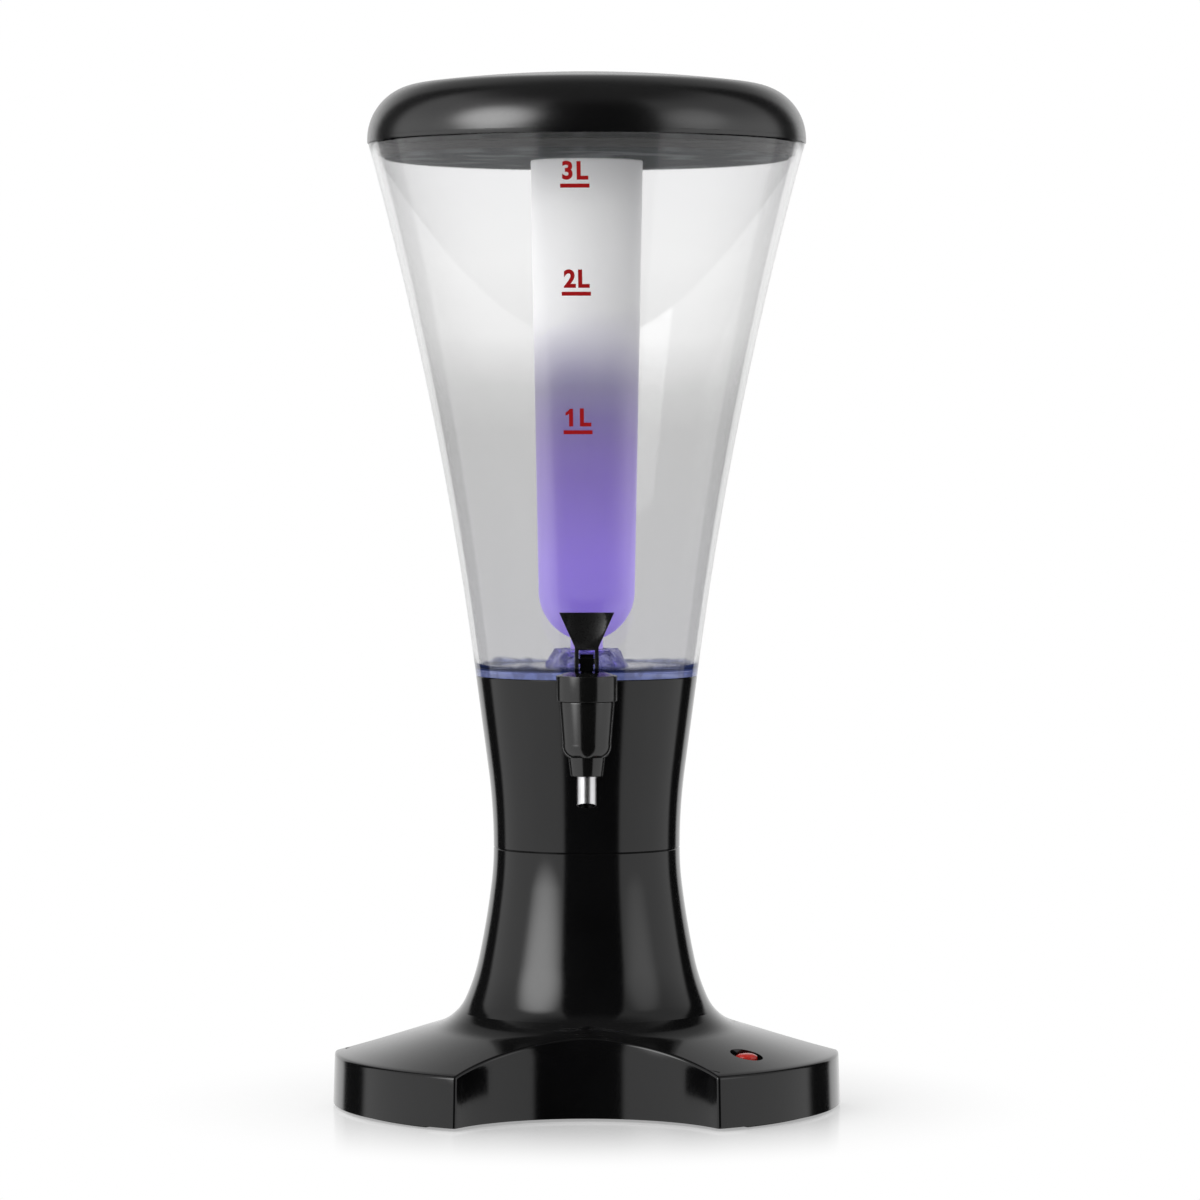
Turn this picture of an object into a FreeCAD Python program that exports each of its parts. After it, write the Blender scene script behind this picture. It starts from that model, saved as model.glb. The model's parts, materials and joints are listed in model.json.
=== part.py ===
import FreeCAD, Part
import math
import os
import Sketcher
from types import SimpleNamespace

# Beer tower dispenser, millimetres. Origin on the tower axis at the resting plane, +Z up, tap towards -Y.

Vector = FreeCAD.Vector
doc = FreeCAD.newDocument("beer_tower")

# Driving sizes: alias, value, what it is
SIZES = [
    ("joint_z", 120.0, "level of the seam between base and neck"),
    ("floor_z", 200.0, "underside of the tank floor and top of the neck"),
    ("rim_z", 447.0, "top rim of the tank"),
    ("waist_r", 43.4, "outer radius at the seam"),
    ("floor_r", 51.6, "outer radius where tank meets neck"),
    ("rim_r", 101.5, "outer radius of the tank rim"),
    ("base_r", 118.3, "outer radius of the base lobes"),
    ("tank_sweep", 1800.0, "radius of the tank wall's long flare"),
    ("neck_sweep", 280.0, "radius of the neck's flare above the waist"),
    ("tank_wall", 2.5, "tank wall"),
    ("floor_thick", 3.3, "tank floor"),
    ("neck_wall", 3.0, "neck wall"),
    ("slip_gap", 0.3, "radial clearance between pieces that lift apart"),
    ("fit_gap", 0.1, "radial clearance of a snug fit"),
    ("run_gap", 0.05, "radial clearance of a running fit"),
    # Base
    ("foot_height", 1.4, "height of the foot pads below the base"),
    ("base_edge_z", 23.1, "top of the rim's straight wall"),
    ("base_draft", 0.75, "how far the rim wall leans in over its height"),
    ("base_wall", 3.0, "wall of the base shell"),
    ("rim_round", 2.0, "rounding of the base's upper edge"),
    ("heel_round", 23.5, "rounding where the column runs out onto the base"),
    ("upper_sweep", 140.0, "radius of the column just under the seam"),
    ("upper_z", 103.0, "lower end of that curve"),
    ("middle_sweep", 400.0, "radius of the long middle curve of the column"),
    ("middle_z", 68.0, "lower end of that curve"),
    ("lower_sweep", 90.0, "radius of the lowest curve of the column"),
    ("lower_z", 49.4, "lower end of that curve"),
    ("notch_out", 17.7, "how far a notch's centre lies outside the base's edge"),
    ("notch_r", 68.0, "radius of a notch"),
    ("spigot_height", 10.0, "height of the base spigot above the seam"),
    ("spigot_wall", 3.0, "wall of the base spigot"),
    ("shelf_thick", 3.0, "shelf that closes the top of the column"),
    ("shelf_drop", 3.0, "depth of the shelf's top below the seam"),
    ("plate_thick", 3.0, "base plate"),
    ("plate_gap", 0.4, "gap between base plate and shell"),
    ("boss_inset", 40.3, "distance of the base screws from the base's edge"),
    ("boss_angle", 18.0, "half angle between the two screws of a lobe, degrees"),
    ("boss_r", 4.0, "radius of the screw bosses"),
    ("screw_r", 1.4, "radius of the screw shanks"),
    ("screw_length", 12.0, "length of the base screws under the head"),
    ("head_r", 3.1, "radius of the screw heads"),
    ("head_height", 1.5, "height of the screw heads"),
    ("head_sink", 0.2, "how deep a base screw's head lies in the plate"),
    ("pad_inset", 5.3, "distance of a foot pad from the base's edge"),
    ("pad_width", 17.0, "width of a foot pad from its inner to its outer arc"),
    ("pad_angle", 40.0, "angle that a foot pad spans, degrees"),
    ("cavity_heel", 22.6, "how far the hollow's heel stands out from the waist"),
    ("heel_drop", 15.9, "depth of the hollow's heel below the lowest curve"),
    ("cavity_hip", 10.6, "how far the hollow's hip stands out from the waist"),
    ("hip_drop", 5.4, "depth of the hollow's hip below the lowest curve"),
    ("cavity_leg", 3.6, "how far the hollow's leg stands out from the waist"),
    ("cut_over", 1.0, "how far a cut runs past a face"),
    # Battery tray and door
    ("cell_r", 5.25, "radius of an AAA cell"),
    ("cell_length", 43.7, "length of an AAA cell without its button"),
    ("cell_gap", 0.7, "gap between two cells"),
    ("button_r", 1.9, "radius of a cell's button"),
    ("button_height", 0.8, "height of a cell's button"),
    ("tray_y", 21.0, "distance of the tray's centre behind the axis"),
    ("tray_wall", 2.0, "wall of the battery tray"),
    ("tray_side", 1.0, "gap beside and above the cells"),
    ("contact_room", 2.4, "room for the contacts at each end of a cell"),
    ("contact_thick", 0.5, "thickness of a contact plate"),
    ("contact_side", 7.0, "width and height of a contact plate"),
    ("bump_flare", 1.5, "how many times wider a contact's bump is at its foot"),
    ("door_thick", 1.8, "battery door"),
    ("door_lap", 2.0, "how far the door laps over the tray's mouth"),
    ("door_travel", 6.0, "travel of the door until its tabs are free"),
    ("tab_reach", 1.6, "how far a tab stands out of the door's edge"),
    ("tab_length", 5.0, "length of a tab"),
    ("tab_spacing", 15.0, "distance of a tab from the door's centre"),
    # Power button
    ("power_inset", 21.8, "distance of the power button from the base's edge"),
    ("power_angle", 41.1, "angle of the power button in front of the +X side, degrees"),
    ("power_hole_r", 7.5, "radius of the hole round the power button"),
    ("power_seat_z", 22.0, "level of the flat under the power button's boss"),
    ("power_boss_r", 12.5, "radius of that boss"),
    ("switch_r", 7.2, "radius of the switch body"),
    ("switch_top", 27.2, "top of the switch body"),
    ("switch_bottom", 9.5, "bottom of the switch body"),
    ("switch_flange_r", 12.0, "radius of the switch flange"),
    ("switch_flange", 2.0, "thickness of the switch flange"),
    ("switch_bore_r", 5.2, "radius of the bore that guides the cap"),
    ("switch_bore_z", 21.0, "bottom of that bore"),
    ("switch_well_r", 4.2, "radius of the spring well"),
    ("switch_well_z", 13.0, "bottom of the spring well"),
    ("switch_screw_ring", 9.6, "distance of the switch screws from the button"),
    ("switch_screw_depth", 3.5, "depth of the switch screws in their boss"),
    ("terminal_length", 3.2, "length of the switch terminals"),
    ("terminal_width", 2.4, "width of the switch terminals"),
    ("terminal_thick", 0.6, "thickness of the switch terminals"),
    ("terminal_side", 2.5, "distance of a terminal from the switch's middle"),
    ("cap_r", 4.9, "radius of the power cap"),
    ("cap_bottom", 23.4, "bottom of the power cap"),
    ("cap_side_z", 29.4, "top of the power cap's straight side"),
    ("cap_top", 30.9, "crown of the power cap"),
    ("cap_stem_r", 1.8, "radius of the power cap's stem"),
    ("cap_stem_z", 16.0, "lower end of that stem"),
    # Lamp
    ("post_flange_r", 15.0, "radius of the lamp post's flange"),
    ("post_flange", 3.0, "thickness of that flange"),
    ("post_r", 9.0, "outer radius of the lamp post"),
    ("post_wall", 2.0, "wall of the lamp post"),
    ("post_top", 186.0, "top of the lamp post"),
    ("post_screw_ring", 12.0, "distance of the post's screws from the axis"),
    ("post_screw_length", 5.0, "length of the post's screws under the head"),
    ("small_screw_r", 1.0, "radius of the small screws"),
    ("small_head_r", 1.9, "head radius of the small screws"),
    ("board_thick", 1.6, "lamp board"),
    ("chip_side", 3.5, "side of a light chip"),
    ("chip_height", 1.2, "height of a light chip"),
    ("chip_ring", 4.2, "distance of the light chips from the axis"),
    ("lens_wall", 1.3, "wall of the lamp lens"),
    ("lens_skirt", 4.0, "how far the lens reaches down over the post"),
    ("lens_side_z", 191.0, "top of the lens's straight side"),
    ("lens_top", 196.5, "crown of the lens"),
    ("lead_r", 0.7, "radius of an insulated lead"),
    ("lead_run", 12.0, "straight run of a lead from the tray or the switch"),
    # Neck and tank foot
    ("neck_bend_z", 157.0, "level where the inside of the neck turns"),
    ("neck_bend", 2.4, "how far the inside widens up to there"),
    ("flange_z", 187.0, "underside of the neck's inner flange"),
    ("flange_thick", 3.0, "thickness of that flange"),
    ("flange_r", 36.5, "inner radius of that flange"),
    ("tank_boss_ring", 41.0, "distance of the tank's screw bosses from the axis"),
    ("skirt_wall", 2.4, "wall of the tank's ring inside the neck"),
    ("skirt_height", 8.0, "height of that ring"),
    ("seal_height", 2.4, "height of the sealing rings"),
    ("seal_depth", 1.2, "depth of their grooves"),
    ("floor_slope", 0.134, "flare of the tank wall at its floor"),
    ("neck_screw_length", 9.0, "length of the neck screws under the head"),
    ("floor_round", 3.0, "rounding where the tank floor meets the wall"),
    ("crown_dent_r", 2.6, "radius of the hollows round the light crown"),
    ("crown_r", 19.8, "foot radius of the light crown"),
    ("crown_height", 9.2, "height of the light crown"),
    ("crown_shoulder", 15.5, "top radius of the light crown"),
    ("crown_sides", 12, "facets round the light crown"),
    # Outlet and tap
    ("outlet_y", 31.0, "distance of the tank's outlet in front of the axis"),
    ("outlet_bore", 4.6, "radius of the passage for the drink"),
    ("outlet_r", 7.0, "outer radius of the outlet spigot"),
    ("outlet_length", 10.3, "length of the outlet spigot"),
    ("outlet_shoulder", 3.0, "height of the spigot's shoulder"),
    ("outlet_shoulder_r", 10.0, "radius of the spigot's shoulder"),
    ("elbow_half", 10.5, "half width of the outlet elbow"),
    ("elbow_front", 43.0, "front face of the elbow"),
    ("elbow_back", 22.0, "back face of the elbow"),
    ("elbow_top", 195.2, "top face of the elbow"),
    ("elbow_bottom", 171.0, "bottom face of the elbow"),
    ("elbow_socket", 5.8, "depth of the elbow's upper socket"),
    ("elbow_round", 3.0, "rounding of the elbow's upright edges"),
    ("shank_z", 181.0, "level of the tap shank"),
    ("shank_r", 7.5, "radius of the tap shank"),
    ("shank_end", 35.8, "inner end of the tap shank"),
    ("tap_y", 69.0, "distance of the tap's axis in front of the tower axis"),
    ("collar_r", 10.5, "radius of the tap's flange and gaskets"),
    ("collar_front", 55.5, "front face of the tap's flange"),
    ("collar_back", 52.5, "back face of the tap's flange"),
    ("gasket_blank", 9.0, "length of a gasket before the neck's wall shapes it"),
    ("body_top_z", 191.5, "top of the tap body"),
    ("body_r", 12.8, "radius of the tap body at its top"),
    ("body_knee_z", 172.5, "level where the tap body starts to round in"),
    ("body_knee_r", 11.2, "radius there"),
    ("body_foot_z", 166.2, "foot of the tap body"),
    ("body_foot_r", 9.0, "radius there"),
    ("body_knee_round", 7.0, "radius of the tap body's lower rounding"),
    ("chamber_r", 9.0, "radius of the tap's chamber"),
    ("seat_z", 172.2, "level of the valve seat"),
    ("spout_r", 4.4, "outer radius of the spout tube"),
    ("spout_wall", 0.9, "wall of the spout tube"),
    ("spout_top", 170.0, "top of the spout tube"),
    ("spout_end", 142.4, "lowest point of the spout tube"),
    ("spout_slant", 3.0, "how much higher the spout's front edge ends"),
    ("nut_top_r", 8.45, "upper radius of the spout collar"),
    ("nut_foot_r", 7.4, "lower radius of the spout collar"),
    ("nut_foot_z", 157.5, "foot of the spout collar"),
    ("bonnet_r", 14.0, "radius of the bonnet"),
    ("bonnet_edge_z", 203.0, "upper edge of the bonnet"),
    ("bonnet_top_z", 204.5, "flat on top of the bonnet"),
    ("bonnet_flat_r", 9.0, "radius of that flat"),
    ("bonnet_plug", 6.0, "how far the bonnet reaches into the tap body"),
    ("bonnet_roof", 3.4, "thickness of the bonnet's roof"),
    ("spring_room_r", 6.6, "radius of the spring chamber"),
    ("stem_r", 2.6, "radius of the tap stem"),
    ("stem_collar_r", 5.8, "radius of the stem's spring collar"),
    ("stem_collar_z", 183.0, "underside of the spring collar"),
    ("stem_collar", 2.0, "thickness of the spring collar"),
    ("cup_r", 6.6, "radius of the seat cup"),
    ("cup_height", 5.0, "height of the seat cup"),
    ("cup_nose_r", 3.0, "radius of the seat cup's nose"),
    ("cup_nose", 1.6, "length of the seat cup's nose"),
    ("head_clear", 0.7, "gap between stem head and bonnet"),
    ("head_width", 6.1, "width of the stem head"),
    ("head_depth", 6.8, "depth of the stem head"),
    ("head_side", 1.2, "height of the stem head's flat sides above the pin"),
    ("head_round", 3.75, "radius of the stem head's top"),
    ("pin_z", 209.5, "level of the handle pin"),
    ("pin_r", 1.25, "radius of the handle pin"),
    ("spring_inner_r", 4.1, "inner radius of the tap spring"),
    ("spring_outer_r", 5.1, "outer radius of the tap spring"),
    # Handle
    ("fork_width", 10.9, "outer width of the handle's fork"),
    ("fork_gap", 7.3, "gap of the fork"),
    ("fork_back", 4.4, "how far the fork reaches behind the pin"),
    ("crotch_rise", 5.3, "height of the fork's gap above the pin"),
    ("shoulder_z", 216.2, "level where the paddle starts to widen"),
    ("paddle_top", 231.6, "top of the handle"),
    ("paddle_width", 24.9, "width of the paddle's top"),
    ("paddle_front", 1.8, "front face of the paddle's top, from the pin"),
    ("paddle_thick", 4.2, "thickness of the paddle"),
    ("scoop_r", 30.0, "radius of the thumb scoop"),
    ("scoop_depth", 1.1, "depth of the thumb scoop"),
    ("cam_rate", 4.0, "lift of the stem for each radian of handle tilt"),
    ("cam_clear", 0.06, "clearance between cam and bonnet"),
    ("tilt_range", 45.0, "tilt of the handle, degrees"),
    # Ice tube
    ("tube_drop", 7.6, "depth of the ice tube's mouth below the tank rim"),
    ("tube_mouth_r", 26.1, "radius of the ice tube at its mouth"),
    ("tube_knee_z", 239.5, "level where the tube rounds in"),
    ("tube_knee_r", 22.4, "radius there"),
    ("tube_wall", 2.0, "wall of the ice tube"),
    ("tube_round", 23.5, "radius of the tube's rounded end"),
    ("tube_foot_z", 217.6, "level where the peg leaves the rounded end"),
    ("tube_inner_z", 219.8, "lowest point of the tube's inside"),
    ("peg_r", 7.5, "radius of the ice tube's peg"),
    ("peg_z", 208.0, "foot of the peg"),
    # Lid
    ("lid_overhang", 0.4, "how far the lid stands out over the tank rim"),
    ("lid_rise", 32.3, "height of the lid's top above the tank rim"),
    ("dome_sweep", 600.0, "radius of the lid's crown"),
    ("shoulder_round", 25.3, "radius of the lid's shoulder"),
    ("lid_wall", 2.5, "wall of the lid"),
    ("pan_side", 5.0, "room for the gasket between underpan and tank wall"),
    ("pan_wall", 2.5, "wall of the underpan"),
    ("pan_flange", 2.5, "thickness of the underpan's flange"),
    ("plug_length", 8.0, "length of the plug that enters the ice tube"),
    ("plug_wall", 2.0, "wall of that plug"),
    ("rim_slope", 0.275, "flare of the tank wall at its rim"),
    ("pan_gap", 0.2, "gap between the underpan's flange and the tank rim"),
    ("gasket_low", 1.6, "height of the lid gasket above the underpan's foot"),
    ("gasket_height", 4.0, "height of the lid gasket"),
]

LOBE_ANGLES = [-30.0, -150.0, 90.0]
BOSS_ANGLES = [-30.0, 90.0, 210.0]
LOBES = len(LOBE_ANGLES)
CELLS = 3
FULL_TURN = 360
QUARTER_TURN = 90
RADIAN = math.pi / 180
SAME_LEVEL = 0.01
SAME_RADIUS = 0.05
CENTRE_POINT = 3
BEND_SHARE = 0.45

# Points that the leads pass between their ends; in the column only the depth and the level are free
RED_ROUTE = [(28.0, -27.0, 9.0), (46.0, -36.0, 8.6), (60.0, -47.0, 8.2)]
LINK_ROUTE = [(47.0, -69.0, 8.2), (33.0, -53.0, 9.0), (18.0, -32.0, 16.0), (6.0, -12.0, 36.0)]
LINK_RISE = [(-1.5, 64.0), (0.0, 95.0), (0.4, 140.0)]
BLACK_ROUTE = [(-9.0, -21.0, 22.0), (-5.0, -8.0, 44.0)]
BLACK_RISE = [(0.0, 72.0), (0.6, 110.0)]

sheet = doc.addObject("Spreadsheet::Sheet", "Sizes")
for row, (alias, value, note) in enumerate(SIZES, start=1):
    sheet.set(f"A{row}", note)
    sheet.set(f"B{row}", str(value))
    sheet.setAlias(f"B{row}", alias)
doc.recompute()


class Size:
    """A size that knows its number and the sheet expression that gives it."""

    def __init__(self, text, value):
        self.text = text
        self.value = value

    def __add__(self, other):
        other = as_size(other)
        return Size(f"({self.text} + {other.text})", self.value + other.value)

    def __sub__(self, other):
        other = as_size(other)
        return Size(f"({self.text} - {other.text})", self.value - other.value)

    def __mul__(self, other):
        other = as_size(other)
        return Size(f"({self.text} * {other.text})", self.value * other.value)

    def __truediv__(self, other):
        other = as_size(other)
        return Size(f"({self.text} / {other.text})", self.value / other.value)

    def __neg__(self):
        return Size(f"(0 - {self.text})", -self.value)


def as_size(item):
    """Turn a plain number into a Size and leave a Size as it is."""
    if isinstance(item, Size):
        return item
    return Size(repr(float(item)), float(item))


def sine(angle):
    """Sine of an angle held in degrees."""
    return Size(f"sin({angle.text} * 1 deg)", math.sin(math.radians(angle.value)))


def cosine(angle):
    """Cosine of an angle held in degrees."""
    return Size(f"cos({angle.text} * 1 deg)", math.cos(math.radians(angle.value)))


s = SimpleNamespace(**{alias: Size(f"Sizes.{alias}", float(value)) for alias, value, note in SIZES})
zero = as_size(0)


class Near:
    """A coordinate that the other constraints settle, with a first guess."""

    def __init__(self, value):
        self.value = value


def bind(thing, path, size):
    """Tie one property of a document object to the sheet."""
    thing.setExpression(path, as_size(size).text)


def plane(body, role):
    """The body's own origin plane of that role."""
    for feature in body.Origin.OriginFeatures:
        if feature.Role == role:
            return feature
    raise RuntimeError(f"no plane {role}")


def new_body(label, x=None, y=None, z=None, turn=None):
    """An empty body with its label and its place."""
    body = doc.addObject("PartDesign::Body", label)
    body.Label = label
    if turn is not None:
        axis, angle = turn
        body.Placement.Rotation = FreeCAD.Rotation(axis, angle)
    for letter, size in (("x", x), ("y", y), ("z", z)):
        if size is not None:
            bind(body, f"Placement.Base.{letter}", size)
    return body


def new_sketch(body, name, role="XZ_Plane", lift=None):
    """A sketch on one of the body's origin planes, lifted along its normal."""
    sketch = body.newObject("Sketcher::SketchObject", name)
    sketch.AttachmentSupport = [(plane(body, role), "")]
    sketch.MapMode = "FlatFace"
    if lift is not None:
        bind(sketch, "AttachmentOffset.Base.z", lift)
    return sketch


class Outline:
    """A closed outline in a sketch, with every corner and radius tied to the sheet."""

    def __init__(self, sketch, x, y):
        self.sketch = sketch
        self.start = (as_size(x), as_size(y))
        self.here = (self.start[0].value, self.start[1].value)
        self.pieces = []

    def _constrain(self, *spec, size=None):
        if size is not None:
            spec = spec + (size.value,)
        index = self.sketch.addConstraint(Sketcher.Constraint(*spec))
        if size is not None:
            self.sketch.setExpression(f"Constraints[{index}]", size.text)

    def _pin(self, piece, end, x, y):
        for kind, coordinate, axis in (("DistanceX", x, -2), ("DistanceY", y, -1)):
            if isinstance(coordinate, Near):
                continue
            if coordinate.text in ("0.0", "0"):
                self._constrain("PointOnObject", piece, end, axis)
            else:
                self._constrain(kind, -1, 1, piece, end, size=coordinate)

    def _join(self, piece, head, tail, smooth):
        if self.pieces:
            previous, _, joint = self.pieces[-1]
            kind = "Tangent" if smooth else "Coincident"
            self._constrain(kind, previous, joint, piece, head)
        else:
            self._pin(piece, head, *self.start)
        self.pieces.append((piece, head, tail))

    def line(self, x, y, smooth=False):
        """A straight edge to (x, y)."""
        x, y = (item if isinstance(item, Near) else as_size(item) for item in (x, y))
        end = (x.value, y.value)
        edge = Part.LineSegment(Vector(*self.here, 0), Vector(*end, 0))
        piece = self.sketch.addGeometry(edge)
        self._join(piece, 1, 2, smooth)
        self._pin(piece, 2, x, y)
        self.here = end
        return self

    def arc(self, x, y, radius, left, smooth=False, centre=None):
        """An arc to (x, y) that turns left or right; centre may be level with its start or on the axis."""
        x, y = (item if isinstance(item, Near) else as_size(item) for item in (x, y))
        end = (x.value, y.value)
        chord = (end[0] - self.here[0], end[1] - self.here[1])
        length = math.hypot(*chord)
        height = math.sqrt(max(radius.value ** 2 - (length / 2) ** 2, 0.0))
        side = 1 if left else -1
        middle = ((self.here[0] + end[0]) / 2, (self.here[1] + end[1]) / 2)
        hub = (middle[0] - side * chord[1] * height / length, middle[1] + side * chord[0] * height / length)
        first, last = (self.here, end) if left else (end, self.here)
        angles = [math.atan2(point[1] - hub[1], point[0] - hub[0]) for point in (first, last)]
        circle = Part.Circle(Vector(*hub, 0), Vector(0, 0, 1), radius.value)
        piece = self.sketch.addGeometry(Part.ArcOfCircle(circle, *angles))
        head, tail = (1, 2) if left else (2, 1)
        self._join(piece, head, tail, smooth)
        self._pin(piece, tail, x, y)
        self._constrain("Radius", piece, size=radius)
        if centre == "level":
            self._constrain("Horizontal", piece, CENTRE_POINT, piece, head)
        if centre == "axis":
            self._constrain("PointOnObject", piece, CENTRE_POINT, -2)
        self.here = end
        return self

    def close(self):
        """The last straight edge back to the start."""
        first, head, _ = self.pieces[0]
        last, _, tail = self.pieces[-1]
        begin = Vector(self.start[0].value, self.start[1].value, 0)
        edge = self.sketch.addGeometry(Part.LineSegment(Vector(*self.here, 0), begin))
        self._constrain("Coincident", last, tail, edge, 1)
        self._constrain("Coincident", edge, 2, first, head)
        if self.sketch.solve() != 0:
            raise RuntimeError(f"sketch {self.sketch.Label} can't be solved")
        return self.sketch


def rectangle(sketch, x0, y0, x1, y1):
    """A rectangle between two corners."""
    return Outline(sketch, x0, y0).line(x1, y0).line(x1, y1).line(x0, y1).close()


def circles(sketch, places):
    """Circles given as (x, y, radius)."""
    for x, y, radius in places:
        x, y = as_size(x), as_size(y)
        hoop = Part.Circle(Vector(x.value, y.value, 0), Vector(0, 0, 1), radius.value)
        piece = sketch.addGeometry(hoop)
        for kind, coordinate, axis in (("DistanceX", x, -2), ("DistanceY", y, -1)):
            if coordinate.text in ("0.0", "0"):
                sketch.addConstraint(Sketcher.Constraint("PointOnObject", piece, CENTRE_POINT, axis))
            else:
                spec = (kind, -1, 1, piece, CENTRE_POINT, coordinate.value)
                index = sketch.addConstraint(Sketcher.Constraint(*spec))
                sketch.setExpression(f"Constraints[{index}]", coordinate.text)
        index = sketch.addConstraint(Sketcher.Constraint("Radius", piece, radius.value))
        sketch.setExpression(f"Constraints[{index}]", radius.text)
    return sketch


def volume(body):
    """Volume and number of faces of what the body holds so far."""
    if body.Tip is None or body.Shape.isNull():
        return 0.0, 0
    return body.Shape.Volume, len(body.Shape.Faces)


def spin(body, name, sketch, cut=False, angle=None):
    """Turn an outline about the sketch's upright axis, adding to the body or cutting it."""
    before = volume(body)
    kind = "PartDesign::Groove" if cut else "PartDesign::Revolution"
    feature = body.newObject(kind, name)
    feature.Profile = sketch
    feature.ReferenceAxis = (sketch, ["V_Axis"])
    feature.Angle = FULL_TURN
    if angle is not None:
        bind(feature, "Angle", angle)
        feature.Midplane = True
    doc.recompute()
    return checked(body, feature, before, cut)


def raise_up(body, name, sketch, length, reverse=False):
    """Pad a sketch along its normal."""
    before = volume(body)
    feature = body.newObject("PartDesign::Pad", name)
    feature.Profile = sketch
    feature.Reversed = reverse
    bind(feature, "Length", length)
    doc.recompute()
    return checked(body, feature, before, False)


def sink(body, name, sketch, length, along=True):
    """Pocket a sketch by a depth, along the sketch's normal or against it."""
    before = volume(body)
    feature = body.newObject("PartDesign::Pocket", name)
    feature.Profile = sketch
    feature.Type = "Length"
    feature.Reversed = along
    bind(feature, "Length", length)
    doc.recompute()
    return checked(body, feature, before, True)


def checked(body, feature, before, cut):
    """Stop when a feature failed, or a cut took nothing away."""
    if "Invalid" in feature.State or "Error" in feature.State or feature.Shape.isNull():
        raise RuntimeError(f"{body.Label}: {feature.Label} failed")
    old_volume, old_faces = before
    gain = feature.Shape.Volume - old_volume
    if cut:
        gain = -gain
    if gain <= 0 and len(feature.Shape.Faces) == old_faces:
        raise RuntimeError(f"{body.Label}: {feature.Label} changed nothing")
    return feature


def repeat(body, name, features, count):
    """Copy features evenly round the Z axis."""
    before = volume(body)
    pattern = body.newObject("PartDesign::PolarPattern", name)
    pattern.Originals = features
    pattern.Axis = (plane(body, "Z_Axis"), [""])
    pattern.Angle = FULL_TURN
    pattern.Occurrences = count
    body.Tip = pattern
    doc.recompute()
    return checked(body, pattern, before, pattern.Shape.Volume < before[0])


def edges_where(shape, test):
    """Names of the edges whose bounding box passes a test."""
    found = [f"Edge{index}" for index, edge in enumerate(shape.Edges, start=1) if test(edge.BoundBox)]
    if not found:
        raise RuntimeError("no edge found to round")
    return found


def round_edges(body, name, test, radius):
    """Fillet the edges that pass a test."""
    base = body.Tip
    feature = body.newObject("PartDesign::Fillet", name)
    feature.Base = (base, edges_where(base.Shape, test))
    bind(feature, "Radius", radius)
    doc.recompute()
    if "Invalid" in feature.State or feature.Shape.isNull() or not feature.Shape.isValid():
        raise RuntimeError(f"{body.Label}: {name} failed")
    return feature


def level_ring(height, radius=None):
    """Test for a circular edge at one height, and at one radius about the Z axis where that is given."""

    def test(box):
        flat = abs(box.ZMin - height.value) < SAME_LEVEL and abs(box.ZMax - height.value) < SAME_LEVEL
        return flat and (radius is None or abs(box.XMax - radius.value) < SAME_RADIUS)

    return test


def rod(label, radius, low, high, x=zero, y=zero):
    """An upright cylinder between two levels."""
    piece = doc.addObject("Part::Cylinder", label)
    piece.Label = label
    bind(piece, "Radius", radius)
    bind(piece, "Height", high - low)
    for letter, size in (("x", x), ("y", y), ("z", low)):
        bind(piece, f"Placement.Base.{letter}", size)
    return piece


def block(label, x, y, z):
    """A box between pairs of coordinates."""
    piece = doc.addObject("Part::Box", label)
    piece.Label = label
    for side, letter, (low, high) in (("Length", "x", x), ("Width", "y", y), ("Height", "z", z)):
        low, high = as_size(low), as_size(high)
        bind(piece, side, high - low)
        bind(piece, f"Placement.Base.{letter}", low)
    return piece


def fuse(label, pieces):
    """One solid from several that touch or overlap."""
    joined = doc.addObject("Part::MultiFuse", label)
    joined.Label = label
    joined.Shapes = pieces
    joined.Refine = True
    return joined


def cut(label, base, tool):
    """The base with the tool taken away."""
    result = doc.addObject("Part::Cut", label)
    result.Label = label
    result.Base = base
    result.Tool = tool
    return result


def group(label, pieces):
    """Several separate solids in one sub-part."""
    bundle = doc.addObject("Part::Compound", label)
    bundle.Label = label
    bundle.Links = pieces
    return bundle


def on_circle(ring, angle):
    """Place on a circle at an angle from +X."""
    return ring * cosine(angle), ring * sine(angle)


def touch_point(hub, radius, point):
    """Where the straight run to a point leaves a circle that is gone round to the right."""
    reach = math.hypot(point[0] - hub[0], point[1] - hub[1])
    angle = math.atan2(point[1] - hub[1], point[0] - hub[0]) + math.acos(radius / reach)
    return hub[0] + radius * math.cos(angle), hub[1] + radius * math.sin(angle)


def flared(x, z, slope, radius, end):
    """Follow an arc down from (x, z) to a level; gives the new x and slope angle."""
    turned = math.asin(math.sin(slope) + (z - end) / radius)
    return x + radius * (math.cos(slope) - math.cos(turned)), turned


nodes = []


def keep(*pieces):
    """Add pieces to the assembly."""
    nodes.extend(pieces)
    return pieces[0]


# Levels and radii that several pieces share
shell_low = s.foot_height
plate_top = shell_low + s.plate_thick
shelf_top = s.joint_z - s.shelf_drop
spigot_r = s.waist_r - s.neck_wall - s.slip_gap
floor_top = s.floor_z + s.floor_thick
inner_floor_r = s.floor_r - s.tank_wall + s.floor_thick * s.floor_slope
notch_reach = s.base_r + s.notch_out
boss_ring = s.base_r - s.boss_inset
power_x, power_y = on_circle(s.base_r - s.power_inset, -s.power_angle)
tray_half_x = s.cell_r * CELLS + s.cell_gap + s.tray_side
tray_half_y = s.cell_length / 2 + s.button_height / 2 + s.contact_room
door_low = shell_low
door_top = door_low + s.door_thick
recess_top = door_top + s.fit_gap
cell_z = recess_top + s.tray_side / 2 + s.cell_r
tray_top = cell_z + s.cell_r + s.tray_side / 2
cell_pitch = s.cell_r * 2 + s.cell_gap
tab_low = door_low + s.door_thick / 2
lid_r = s.rim_r + s.lid_overhang
lid_apex = s.rim_z + s.lid_rise
pan_r = s.rim_r - s.tank_wall - s.pan_side
tube_mouth_z = s.rim_z - s.tube_drop


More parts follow.
